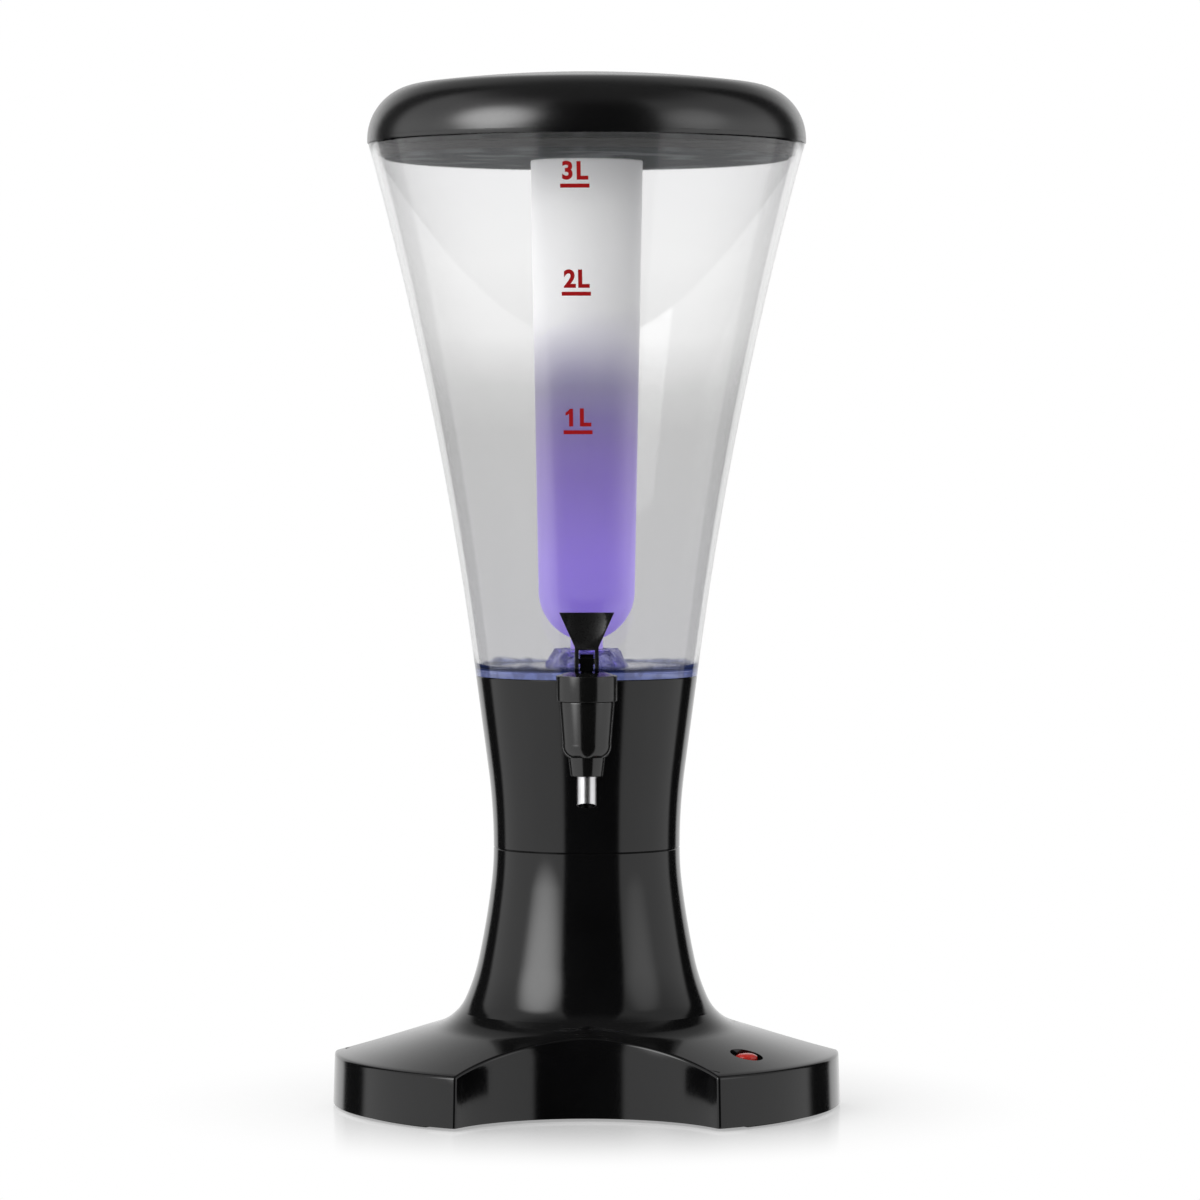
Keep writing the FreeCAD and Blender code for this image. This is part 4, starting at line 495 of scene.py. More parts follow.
@dataclass(frozen=True)
class Finish:
    """What every finish has: a name and a graph with one principled shader."""

    name: str

    def open(self) -> tuple[bpy.types.Material, Graph, bpy.types.Node]:
        """Make the material with its shader and output."""
        material = bpy.data.materials.new(self.name)
        material.use_nodes = True
        material.node_tree.nodes.clear()
        graph = Graph(material.node_tree)
        shader = graph.add("ShaderNodeBsdfPrincipled")
        graph.add("ShaderNodeOutputMaterial", {0: shader.outputs[0]})
        return material, graph, shader

    @staticmethod
    def group(graph: Graph, tree: bpy.types.NodeTree, **values: float) -> bpy.types.Node:
        """Add one of the shared groups with its settings."""
        node = graph.add("ShaderNodeGroup", node_tree=tree)
        graph.feed(node, {key.replace("_", " "): value for key, value in values.items()})
        return node


@dataclass(frozen=True)
class Moulded(Finish):
    """Moulded plastic or rubber: two close tones, varying roughness, fine relief, dust and worn edges; a band
    colour adds painted reflection streaks.
    """

    tone: Colour = (0.0022, 0.0022, 0.0024)
    shade: Colour = (0.0036, 0.0036, 0.0038)
    rough: Point = (0.09, 0.14)
    scale: float = 30.0
    fine: float = 900.0
    relief: float = 0.000004
    specular: float = 0.5
    dust: float = 0.015
    wear: float = 0.12
    band: Colour | None = None

    def make(self) -> bpy.types.Material:
        """Build the material."""
        material, graph, shader = self.open()
        grain = self.group(graph, SharedGroups.grain(), Scale=self.scale, Fine_Scale=self.fine)
        dust = self.group(graph, SharedGroups.dust(), Amount=self.dust).outputs[0]
        wear = self.group(graph, SharedGroups.wear(), Amount=self.wear).outputs[0]
        colour = graph.blend(grain.outputs["Mottle"], self.tone, self.shade)
        # Painted reflection: when a band colour is given, lighter upright streaks stand in for reflections on
        # the wall.
        if self.band:
            painted_reflection_streaks = graph.noise(graph.vector("MULTIPLY", graph.place(), (42.0, 42.0, 4.0)), 1.0, 1.0)
            colour = graph.blend(graph.spread(painted_reflection_streaks, 0.45, 0.66, 0.0, 1.0, True), colour, self.band)
        lighter = tuple(min(1.0, value * 2.2 + 0.012) for value in self.tone)
        colour = graph.blend(wear, colour, lighter)
        colour = graph.blend(dust, colour, (0.42, 0.41, 0.39))
        rough = graph.spread(grain.outputs["Fine"], 0.3, 0.7, *self.rough)
        rough = graph.sum("ADD", rough, graph.sum("MULTIPLY", dust, 0.5), clamp=True)
        normal = graph.bump(grain.outputs["Height"], self.relief, 0.6)
        graph.feed(shader, {"Base Color": colour, "Roughness": rough, "Normal": normal})
        graph.feed(shader, {"Specular IOR Level": self.specular})
        return material


@dataclass(frozen=True)
class Metal(Finish):
    """Plated or drawn metal with fine lines and slight smudges, and where asked a bore painted dark as
    painted shade.
    """

    tone: Colour = (0.62, 0.62, 0.63)
    shade: Colour = (0.5, 0.5, 0.51)
    rough: Point = (0.05, 0.12)
    lines: Place = (60.0, 60.0, 2000.0)
    relief: float = 0.000002
    painted_bore_shade: float = 0.0
    hub: Place = (0.0, -0.069, 0.0)

    def make(self) -> bpy.types.Material:
        """Build the material."""
        material, graph, shader = self.open()
        place = graph.place()
        lines = graph.noise(graph.vector("MULTIPLY", place, self.lines), 1.0, 3.0)
        smudge = graph.noise(place, 180.0, 4.0)
        colour = graph.blend(graph.spread(smudge, 0.35, 0.65, 0.0, 1.0), self.tone, self.shade)
        # Painted shade: faces inside this radius about the hub are painted near black, as the shade inside
        # the spout's bore.
        if self.painted_bore_shade > 0.0:
            across = graph.vector("SUBTRACT", place, self.hub)
            radius = graph.length(graph.vector("MULTIPLY", across, (1.0, 1.0, 0.0)))
            inside = graph.spread(radius, self.painted_bore_shade, self.painted_bore_shade + 0.0003, 1.0, 0.0)
            colour = graph.blend(inside, colour, (0.01, 0.01, 0.01))
        rough = graph.spread(lines, 0.3, 0.7, *self.rough)
        normal = graph.bump(lines, self.relief)
        graph.feed(shader, {"Base Color": colour, "Roughness": rough, "Normal": normal, "Metallic": 1.0})
        return material


@dataclass(frozen=True)
class Clear(Finish):
    """Clear plastic whose tint and glow change with height; the tint ramps also carry painted lamp light and
    painted shade, and the glow is painted light.
    """

    tint_and_painted_light: Sequence[tuple[float, Colour]] = ((0.0, (0.95, 0.95, 0.95)), (1.0, (0.95, 0.95, 0.95)))
    # Painted light: emission colours by height, though the part is no lamp.
    painted_glow: Sequence[tuple[float, Colour]] = ((0.0, (0.0, 0.0, 0.0)), (1.0, (0.0, 0.0, 0.0)))
    span: Point = (0.2, 0.45)
    rough: Point = (0.02, 0.05)
    ior: float = 1.49
    transmission: float = 1.0
    strength: float = 0.0
    patch: float = 22.0
    depth: float = 0.12
    relief: float = 0.000004
    # Painted sheen and shade: colours by height that the surface turns to along its silhouette.
    edge: Sequence[tuple[float, Colour]] = ()
    edge_span: Point = (0.05, 0.5)
    painted_shade_patches: Point = (0.0, 0.0)
    # Painted side light: how much stronger the painted glow is on faces turned towards -X, as if lit from the
    # left.
    lean: float = 0.0

    def make(self) -> bpy.types.Material:
        """Build the material."""
        material, graph, shader = self.open()
        grain = self.group(graph, SharedGroups.grain(), Scale=self.patch, Fine_Scale=700.0)
        place = graph.place()
        level = graph.spread(graph.part(place, 2), self.span[0], self.span[1], 0.0, 1.0)
        wander = graph.sum("MULTIPLY", graph.sum("SUBTRACT", grain.outputs["Mottle"], 0.5), self.depth * 0.2)
        level = graph.sum("ADD", level, wander, clamp=True)
        # The tint ramp paints light and shade into the colour: the tank's blue floor band is painted lamp
        # light from below, its darker lower wall is painted shade, and the tube's and crown's violet is
        # painted lamp light.
        colour = graph.ramp(level, self.tint_and_painted_light)
        # Painted sheen and shade by facing: the colour turns towards the edge ramp where faces turn away from
        # the camera, mostly lighter along the tube's silhouette and darker along the tank's upper silhouette.
        if self.edge:
            turned = graph.add("ShaderNodeLayerWeight", {"Blend": 0.5}).outputs["Facing"]
            colour = graph.blend(
                graph.spread(turned, *self.edge_span, 0.0, 1.0, True), colour, graph.ramp(level, self.edge)
            )
        # Painted shade: dark blue patches over the tank's floor band and all over the crown stand in for the
        # uneven light through the crystal lumps.
        if self.painted_shade_patches[1] > 0.0:
            chips = graph.noise(place, 170.0)
            low = graph.spread(level, self.painted_shade_patches[0], self.painted_shade_patches[0] + 0.006, self.painted_shade_patches[1], 0.0)
            dark = graph.sum("MULTIPLY", graph.spread(chips, 0.42, 0.58, 0.0, 1.0), low)
            colour = graph.blend(dark, colour, (0.05, 0.055, 0.12))
        rough = graph.spread(grain.outputs["Fine"], 0.3, 0.7, *self.rough)
        normal = graph.bump(grain.outputs["Height"], self.relief)
        graph.feed(shader, {"Base Color": colour, "Roughness": rough, "Normal": normal})
        # Painted light: emission by height stands in for the base lamp's light in the tube, crown and tank
        # floor, and for studio light on the tube's frosted top.
        if self.strength > 0:
            painted_glow = graph.ramp(level, self.painted_glow)
            # Painted side light: the glow is scaled by the normal's X, lighter on the left side and darker on
            # the right, in the upper part of the range.
            if self.lean > 0.0:
                side = graph.part(graph.add("ShaderNodeNewGeometry").outputs["Normal"], 0)
                share = graph.sum("MULTIPLY", graph.spread(level, 0.54, 0.68, 0.0, self.lean), side)
                share = graph.sum("SUBTRACT", 1.0, graph.sum("MULTIPLY", share, 1.3))
                inputs = {0: painted_glow, "Scale": graph.sum("MAXIMUM", share, 0.0)}
                painted_glow = graph.add("ShaderNodeVectorMath", inputs, operation="SCALE").outputs[0]
            graph.feed(shader, {"Emission Color": painted_glow, "Emission Strength": self.strength})
        graph.feed(shader, {"IOR": self.ior, "Transmission Weight": self.transmission})
        return material


@dataclass(frozen=True)
class Sleeve(Finish):
    """Printed sleeve of a battery cell: coloured body with a lighter band near one end."""

    body: Colour = (0.03, 0.16, 0.06)
    band: Colour = (0.55, 0.42, 0.12)
    edge: float = 0.033

    def make(self) -> bpy.types.Material:
        """Build the material."""
        material, graph, shader = self.open()
        grain = self.group(graph, SharedGroups.grain(), Scale=60.0, Fine_Scale=1500.0)
        along = graph.part(graph.place(), 1)
        banded = graph.spread(along, self.edge, self.edge + 0.0006, 0.0, 1.0)
        colour = graph.blend(banded, self.body, self.band)
        colour = graph.blend(graph.sum("MULTIPLY", grain.outputs["Mottle"], 0.12), colour, (0.0, 0.0, 0.0))
        rough = graph.spread(grain.outputs["Fine"], 0.3, 0.7, 0.22, 0.34)
        graph.feed(shader, {"Base Color": colour, "Roughness": rough, "Metallic": 0.35})
        return material


class Kit:
    """The finishes of this tower, each made once."""

    _made: dict[str, bpy.types.Material] = {}
    gloss_black = Moulded("gloss_black_shell")
    lid_black = Moulded("lid_black", rough=(0.2, 0.25), specular=0.9, relief=0.000001)
    # The pan's lighter band streaks are painted reflections.
    pan_grey = Moulded(
        "pan_grey", tone=(0.045, 0.05, 0.052), shade=(0.06, 0.065, 0.068), rough=(0.2, 0.3), specular=0.0,
        wear=0.0, relief=0.000001, band=(0.13, 0.14, 0.145),
    )
    tap_black = Moulded(
        "tap_black", tone=(0.003, 0.003, 0.003), shade=(0.005, 0.005, 0.005), rough=(0.12, 0.2), specular=0.7
    )
    handle_black = Moulded(
        "handle_black", tone=(0.004, 0.004, 0.004), shade=(0.007, 0.007, 0.007), rough=(0.26, 0.36),
        relief=0.000008, fine=1400.0,
    )
    inner_black = Moulded(
        "inner_black", tone=(0.01, 0.01, 0.011), shade=(0.014, 0.014, 0.015), rough=(0.35, 0.5), fine=500.0
    )
    red = Moulded(
        "button_red", tone=(0.5, 0.018, 0.012), shade=(0.62, 0.03, 0.02), rough=(0.16, 0.26), dust=0.02
    )
    mark_red = Moulded(
        "mark_red", tone=(0.25, 0.002, 0.003), shade=(0.3, 0.004, 0.005), rough=(0.5, 0.65), dust=0.0,
        wear=0.0, specular=0.1,
    )
    rubber = Moulded(
        "seal_rubber", tone=(0.02, 0.02, 0.02), shade=(0.03, 0.03, 0.03), rough=(0.6, 0.8), relief=0.00002
    )
    foot_rubber = Moulded(
        "foot_rubber", tone=(0.03, 0.03, 0.03), shade=(0.045, 0.045, 0.045), rough=(0.7, 0.9), relief=0.00004,
        fine=1800.0, wear=0.3,
    )
    board = Moulded("board_green", tone=(0.01, 0.12, 0.05), shade=(0.015, 0.16, 0.07), rough=(0.2, 0.32))
    chip = Moulded("chip_cream", tone=(0.75, 0.72, 0.5), shade=(0.8, 0.78, 0.6), rough=(0.25, 0.4))
    lead_red = Moulded("lead_red", tone=(0.45, 0.015, 0.01), shade=(0.5, 0.02, 0.015), rough=(0.3, 0.42))
    lead_black = Moulded("lead_black", tone=(0.015, 0.015, 0.015), rough=(0.3, 0.42))
    # Chrome spout, with its bore painted dark as painted shade.
    chrome = Metal(
        "chrome", tone=(0.85, 0.85, 0.86), shade=(0.78, 0.78, 0.79), rough=(0.3, 0.36), painted_bore_shade=0.0037
    )
    steel = Metal("screw_steel", tone=(0.5, 0.5, 0.5), shade=(0.4, 0.4, 0.4), rough=(0.2, 0.35))
    spring = Metal("spring_steel", tone=(0.46, 0.46, 0.47), shade=(0.36, 0.36, 0.37), rough=(0.22, 0.34))
    cell = Sleeve("cell_sleeve")
    # Tank: its tint, edge and glow hold painted light and shade: painted blue lamp light on the floor band
    # and a darker lower wall as painted shade.
    tank = Clear(
        "tank_clear",
        tint_and_painted_light=(
            (0.0, (0.12, 0.15, 0.34)), (0.012, (0.16, 0.19, 0.42)), (0.024, (0.71, 0.71, 0.72)),
            (0.46, (0.72, 0.72, 0.72)), (0.54, (0.77, 0.77, 0.77)), (0.64, (0.92, 0.92, 0.92)),
            (0.78, (0.97, 0.97, 0.97)), (1.0, (0.955, 0.955, 0.96)),
        ),
        edge=(
            (0.0, (0.12, 0.15, 0.34)), (0.024, (0.70, 0.70, 0.71)), (0.46, (0.70, 0.70, 0.70)),
            (0.66, (0.81, 0.81, 0.81)), (1.0, (0.86, 0.86, 0.865)),
        ),
        edge_span=(0.12, 0.7),
        painted_glow=(
            (0.0, (0.02, 0.03, 0.10)), (0.014, (0.02, 0.03, 0.08)), (0.02, (0.0, 0.0, 0.0)),
            (1.0, (0.0, 0.0, 0.0)),
        ),
        span=(0.2, 0.447), strength=0.3, painted_shade_patches=(0.018, 0.75),
    )
    # Tube: the violet low down is painted lamp light, and the white glow at the top is painted studio light
    # with painted side light from the left.
    tube = Clear(
        "tube_frosted",
        tint_and_painted_light=(
            (0.0, (0.45, 0.37, 0.80)), (0.12, (0.30, 0.22, 0.68)), (0.36, (0.28, 0.21, 0.56)),
            (0.48, (0.33, 0.28, 0.56)), (0.56, (0.50, 0.47, 0.66)), (0.63, (0.78, 0.77, 0.85)),
            (0.7, (0.95, 0.95, 0.96)),
            (0.9, (0.95, 0.95, 0.95)), (1.0, (0.85, 0.85, 0.86)),
        ),
        edge=(
            (0.0, (0.75, 0.62, 0.92)), (0.12, (0.62, 0.52, 0.90)), (0.42, (0.60, 0.52, 0.80)),
            (0.54, (0.66, 0.62, 0.80)), (0.64, (0.88, 0.87, 0.92)), (0.72, (0.96, 0.96, 0.97)),
            (1.0, (0.85, 0.85, 0.86)),
        ),
        painted_glow=(
            (0.0, (0.30, 0.22, 0.70)), (0.2, (0.30, 0.19, 0.74)), (0.42, (0.16, 0.10, 0.37)),
            (0.54, (0.08, 0.07, 0.14)), (0.68, (0.28, 0.28, 0.28)), (0.9, (0.26, 0.26, 0.26)),
            (1.0, (0.12, 0.12, 0.12)),
        ),
        span=(0.208, 0.4394), rough=(0.3, 0.42), transmission=0.15, strength=0.6, lean=0.95,
    )
    # Crown: its blue-violet tint and glow are painted lamp light, with painted shade patches.
    crown = Clear(
        "crown_crystal",
        tint_and_painted_light=((0.0, (0.26, 0.27, 0.55)), (1.0, (0.45, 0.44, 0.70))),
        painted_glow=((0.0, (0.04, 0.04, 0.16)), (1.0, (0.06, 0.05, 0.2))),
        span=(0.203, 0.214), rough=(0.02, 0.08), strength=0.3, patch=260.0, relief=0.0002, painted_shade_patches=(1.5, 0.7),
    )
    lens = Clear(
        "lens_milky", tint_and_painted_light=((0.0, (0.8, 0.8, 0.9)), (1.0, (0.85, 0.85, 0.95))), rough=(0.2, 0.3),
        transmission=0.7, span=(0.18, 0.2),
    )

    @classmethod
    def get(cls, finish: Finish) -> bpy.types.Material:
        """The material of a finish, made when it is first asked for."""
        if finish.name not in cls._made:
            cls._made[finish.name] = finish.make()
        return cls._made[finish.name]


class Assembly:
    """What the sub-assemblies share: dressing pieces and CAD nodes and reporting them."""

    body: str = "base"

    def keep(
        self,
        piece: bpy.types.Object,
        finish: Finish,
        slot: str,
        nodes: Iterable[str] = (),
        body: str | None = None,
    ) -> bpy.types.Object:
        """Dress a new piece and tie it to its body.

        Args:
            piece: The finished piece.
            finish: Its finish.
            slot: The record's material slot; not used.
            nodes: CAD nodes it stands for.
            body: Body it rides on, if not the sub-assembly's own.

        Returns:
            The same piece.
        """
        piece.data.materials.clear()
        piece.data.materials.append(Kit.get(finish))
        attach(piece, body or self.body)
        names = tuple(nodes)
        if names:
            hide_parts(*names)
        LOG.info("piece %s: %d faces, %s", piece.name, len(piece.data.polygons), finish.name)
        return piece

    def dress(self, finish: Finish, *nodes: str) -> None:
        """Give CAD nodes that stay a finish."""
        for name in nodes:
            for entry in frame["nodes"][name].material_slots:
                entry.link = "OBJECT"
                entry.material = Kit.get(finish)
            LOG.info("node %s: %s", name, finish.name)

    def build(self) -> None:
        """Make the sub-assembly's pieces."""
        raise NotImplementedError


@dataclass
class Base(Assembly):
    """Lobed foot and column, with what stands in and under them."""

    body: str = "base"
    curves: Sequence[tuple[float, float]] = ((140.0, 103.0), (400.0, 68.0), (90.0, 49.4))
    heel: float = 23.5
    rim: float = 118.3
    rim_top: float = 117.55
    rim_edge: float = 24.61
    low: float = 1.4
    notch_reach: float = 136.0
    notch: float = 68.0
    wall: float = 3.0
    edge: float = 1.3
    corner: float = 1.7
    flat: float = 60.0
    well: Point = (7.5, 32.0)
    rim_steps: int = 36
    notch_steps: int = 44
    tip_steps: int = 5

    def profile(self) -> list[Point]:
        """Column and top as radius and height, from the seam down to the rim."""
        points = [(WAIST_R - SEAM_EDGE, SEAM_Z), (WAIST_R, SEAM_Z - SEAM_EDGE)]
        x, z, lean = WAIST_R, SEAM_Z, 0.0
        for radius, level in self.curves:
            for index in range(1, 11):
                down = z + (level - z) * index / 10
                turned = math.asin(math.sin(lean) + (z - down) / radius)
                points.append((x + radius * (math.cos(lean) - math.cos(turned)), down))
            turned = math.asin(math.sin(lean) + (z - level) / radius)
            x, z, lean = x + radius * (math.cos(lean) - math.cos(turned)), level, turned
        fall = self.fall(x, z, lean)
        for index in range(1, 17):
            turned = lean + (fall - lean) * index / 16
            out = self.heel * (math.cos(lean) - math.cos(turned))
            points.append((x + out, z - self.heel * (math.sin(turned) - math.sin(lean))))
        points.append((self.rim_top, self.rim_edge))
        return points

    def fall(self, x: float, z: float, lean: float) -> float:
        """Angle from upright at which the heel runs out onto the top, so that it meets the rim."""
        low, high = lean, math.radians(89)
        for _ in range(60):
            middle = (low + high) / 2
            end_x = x + self.heel * (math.cos(lean) - math.cos(middle))
            end_z = z - self.heel * (math.sin(middle) - math.sin(lean))
            slope = math.atan2(self.rim_top - end_x, end_z - self.rim_edge)
            low, high = (middle, high) if slope > middle else (low, middle)
        return low

    def stations(self, rim: float) -> list[tuple[float, float]]:
        """The lobed outline seen from above, in mm, for one rim radius."""
        points: list[tuple[float, float]] = []
        tip = math.radians(30)
        for lobe in (-30.0, 90.0, 210.0):
            middle = math.radians(lobe)
            inset = self.corner / rim
            for index in range(self.rim_steps):
                share = index / (self.rim_steps - 1)
                angle = middle - tip + inset + (2 * tip - 2 * inset) * share
                points.append((rim * math.cos(angle), rim * math.sin(angle)))
            hollow = math.radians(lobe + 60)
            hub = Vector((math.cos(hollow), math.sin(hollow))) * self.notch_reach
            corner = Vector((math.cos(hollow - tip), math.sin(hollow - tip))) * rim
            swing = math.atan2(rim * math.sin(tip), self.notch_reach - rim * math.cos(tip))
            trim = self.corner / self.notch
            first = points[-1]
            side = self.on_notch(hub, hollow, swing - trim, -1)
            points += self.bow(first, tuple(corner), side)
            for index in range(self.notch_steps):
                share = index / (self.notch_steps - 1)
                psi = -(swing - trim) + 2 * (swing - trim) * share
                points.append(self.on_notch(hub, hollow, abs(psi), -1 if psi < 0 else 1))
            far = Vector((math.cos(hollow + tip), math.sin(hollow + tip))) * rim
            next_angle = hollow + tip + inset
            after = (rim * math.cos(next_angle), rim * math.sin(next_angle))
            points += self.bow(points[-1], tuple(far), after)
        return points

    def on_notch(self, hub: Vector, hollow: float, psi: float, side: int) -> tuple[float, float]:
        """A point on a notch's wall, given by the angle at the notch's centre."""
        angle = hollow + math.pi - side * psi
        return (hub.x + self.notch * math.cos(angle), hub.y + self.notch * math.sin(angle))

    def bow(self, start: Point, corner: Point, end: Point) -> list[Point]:
        """Points between two outline points round a corner, without both ends."""
        made = []
        for index in range(1, self.tip_steps):
            t = index / self.tip_steps
            shares = ((1 - t) ** 2, 2 * t * (1 - t), t * t)
            pairs = tuple(zip(shares, (start, corner, end)))
            made.append(tuple(sum(share * point[axis] for share, point in pairs) for axis in range(2)))
        return made

    def shell(self) -> bpy.types.Object:
        """The outer shell: turned first, then drawn out to the lobes, thickened and drilled."""
        profile = self.profile()
        column = [point for point in profile if point[0] < self.flat]
        heights = sorted(profile)
        top_line = self.stations(self.rim_top)
        low_line = self.stations(self.rim)
        count = len(top_line)
        shares = [0.0, 0.05, 0.1, 0.15, 0.2, 0.25, 0.3, 0.36, 0.43, 0.5, 0.58, 0.67, 0.77, 0.88, 0.96]
        turns = [0.0, 18.0, 36.0, 54.0, 72.0, 90.0]
        sides = [0.0, 0.12, 0.5, 0.88, 1.0]
        rows: list[tuple[str, float]] = [("share", share) for share in shares]
        rows += [("turn", angle) for angle in turns] + [("side", share) for share in sides[1:]]
        outline = in_metres(column)
        outline += [((self.flat + index + 1) * MM, 0.02) for index in range(len(rows))]
        piece = Bench.turn("base_lobed_shell", outline, steps=count, closed=False)

        def level(radius: float) -> float:
            """Height of the top at a radius, in mm."""
            for (r0, z0), (r1, z1) in zip(heights, heights[1:]):
                if r0 <= radius <= r1:
                    return z0 + (z1 - z0) * (radius - r0) / (r1 - r0)
            return heights[-1][1] if radius > heights[-1][0] else heights[0][1]

        start = math.atan2(top_line[0][1], top_line[0][0])
        for vertex in piece.data.vertices:
            radius = math.hypot(vertex.co.x, vertex.co.y) / MM
            index = round((math.atan2(vertex.co.y, vertex.co.x) % math.tau) / math.tau * count) % count
            before, here, after = (Vector(top_line[(index + step) % count]) for step in (-1, 0, 1))
            polar = math.atan2(here.y, here.x)
            even = start + math.tau * index / count
            drift = (polar - even + math.pi) % math.tau - math.pi
            inner_angle = even + drift * 0.6
            inner = Vector((math.cos(inner_angle), math.sin(inner_angle)))
            if radius < self.flat:
                place = inner * radius
                vertex.co = (place.x * MM, place.y * MM, vertex.co.z)
                continue
            kind, value = rows[min(max(round(radius - self.flat - 1), 0), len(rows) - 1)]
            along = (after - before).normalized()
            outward = Vector((along.y, -along.x))
            if kind == "share":
                edge = here - outward * self.edge
                place = inner * self.flat + (edge - inner * self.flat) * value
                vertex.co = (place.x * MM, place.y * MM, level(place.length) * MM)
                continue
            turn = math.radians(value) if kind == "turn" else math.pi / 2
            edge = here - outward * self.edge * (1 - math.sin(turn))
            top = level(edge.length) - self.edge * (1 - math.cos(turn))
            if kind == "turn":
                vertex.co = (edge.x * MM, edge.y * MM, top * MM)
                continue
            foot = Vector(low_line[index])
            place = edge + (foot - edge) * value
            vertex.co = (place.x * MM, place.y * MM, (top + (self.low - top) * value) * MM)
        Bench.face_out(piece)
        Bench.modify(piece, "SOLIDIFY", thickness=self.wall * MM, offset=-1.0, use_even_offset=False)
        radius, height = (size * MM for size in self.well)
        Bench.drill(piece, (BUTTON_AT[0] * MM, BUTTON_AT[1] * MM, height), radius, 0.02)
        Bench.smooth(piece, 35)
        return piece

    def shelf(self) -> bpy.types.Object:
        """The shelf inside the column with the spigot that the neck stands over."""
        outline = soften([
            (7.0, 114.0), (40.3, 114.0), (40.3, SEAM_Z), (40.1, 120.3), (40.1, 123.8), (38.9, 123.8),
            (38.9, 126.2), (40.1, 126.2), (40.1, 130.0, 0.6), (37.1, 130.0, 0.6), (37.1, 117.0, 1.5),
            (7.0, 117.0, 0.4),
        ])
        return Bench.turn("base_shelf_and_spigot", in_metres(outline), steps=96)

    def build(self) -> None:
        """Make the base's pieces."""
        self.keep(self.shell(), Kit.gloss_black, "base_black", ["base_shell"])
        self.keep(self.shelf(), Kit.inner_black, "base_black")
        self.dress(Kit.inner_black, "base_plate", "lamp_post", "switch_body")
        self.dress(Kit.foot_rubber, "foot_pad_right", "foot_pad_left", "foot_pad_rear")
        self.dress(Kit.steel, "base_screws", "post_screws", "switch_screws")
        self.dress(Kit.cell, "battery_cell_1", "battery_cell_2", "battery_cell_3")
        self.dress(Kit.spring, "battery_contacts", "button_spring")
        self.dress(Kit.board, "lamp_board")
        self.dress(Kit.chip, "light_chips")
        self.dress(Kit.lens, "lamp_lens")
        self.dress(Kit.lead_red, "lead_red", "lead_link")
        self.dress(Kit.lead_black, "lead_black")
        self.dress(Kit.rubber, "joint_ring")


@dataclass
class Door(Assembly):
    """Battery door under the base."""

    body: str = "battery_door"

    def build(self) -> None:
        """Make the door."""
        door = Bench.copy_of("battery_door", "battery_door_leaf", 0.3 * MM, 2)
        self.keep(door, Kit.inner_black, "base_black", ["battery_door"])


@dataclass
class PowerButton(Assembly):
    """Red cap in the right front lobe."""

    body: str = "power_button"
    radius: float = 4.9

    def build(self) -> None:
        """Make the cap."""
        outline = soften([
            (0.0, 16.0), (1.8, 16.0, 0.2), (1.8, 23.4), (self.radius, 23.4, 0.3), (self.radius, 29.6, 0.9),
            (3.2, 30.45, 4.0), (0.0, 30.9),
        ], closed=False)
        points = in_metres(outline)
        hub = (BUTTON_AT[0] * MM, BUTTON_AT[1] * MM, 0.0)
        cap = Bench.turn("power_cap_red", points, hub, 64, closed=False)
        self.keep(cap, Kit.red, "red_plastic", ["power_cap"])


@dataclass
class Neck(Assembly):
    """Flared neck between base and tank."""

    body: str = "container"
    sweep: float = 280.0
    flange: float = 188.5
    shank: Point = (7.8, 181.0)
    screw: float = 1.5
    slot: Place = (11.5, -47.27, -22.0)

    def outer(self) -> list[Point]:
        """Outer flare from the seam up to the tank floor."""
        hub = (WAIST_R + self.sweep, SEAM_Z)
        over, up = FLOOR_R - hub[0], FLOOR_Z - hub[1]
        angle = math.atan2(up, over) + math.acos(self.sweep / math.hypot(over, up))
        touch = (hub[0] + self.sweep * math.cos(angle), hub[1] + self.sweep * math.sin(angle))
        points = [(WAIST_R - SEAM_EDGE, SEAM_Z), (WAIST_R, SEAM_Z + SEAM_EDGE)]
        points += bend(points[-1], touch, self.sweep, False, 16)
        way = (FLOOR_R - touch[0], FLOOR_Z - touch[1])
        rise = [(touch[0] + way[0] * step / 8, touch[1] + way[1] * step / 8) for step in range(1, 8)]
        return points + rise + [(51.52, 199.45), (51.3, 199.9), (51.1, FLOOR_Z)]

    def build(self) -> None:
        """Make the neck and dress what it holds."""
        inner = [
            (48.6, FLOOR_Z), (48.6, 190.0), (36.5, 190.0), (36.5, 187.0), (46.86, 187.0), (42.8, 157.0),
            (40.4, SEAM_Z),
        ]
        points = in_metres(self.outer() + inner)
        neck = Bench.turn("neck_flared_shell", points, steps=160)
        radius, height = (size * MM for size in self.shank)
        Bench.drill(neck, (0.0, -0.046, height), radius, 0.03, math.pi / 2)
        for turn in SCREW_TURNS:
            x, y, _ = on_ring(SCREW_RING, turn)
            Bench.drill(neck, (x, y, self.flange * MM), self.screw * MM, 0.012)
        Bench.clear()
        half, front, back = (size * MM for size in self.slot)
        bpy.ops.mesh.primitive_cube_add(size=1.0, location=(0.0, (front + back) / 2, self.flange * MM))
        cutter = bpy.context.object
        cutter.scale = (half * 2, back - front, 0.0031)
        Bench.settle(cutter)
        Bench.cut(neck, cutter)
        Bench.smooth(neck)
        self.keep(neck, Kit.gloss_black, "base_black", ["neck_shell"])
        self.dress(Kit.steel, "neck_screws")
        self.dress(Kit.rubber, "tank_seal", "outlet_ring", "tap_gasket_outer", "tap_gasket_inner")
        self.dress(Kit.tap_black, "outlet_elbow")


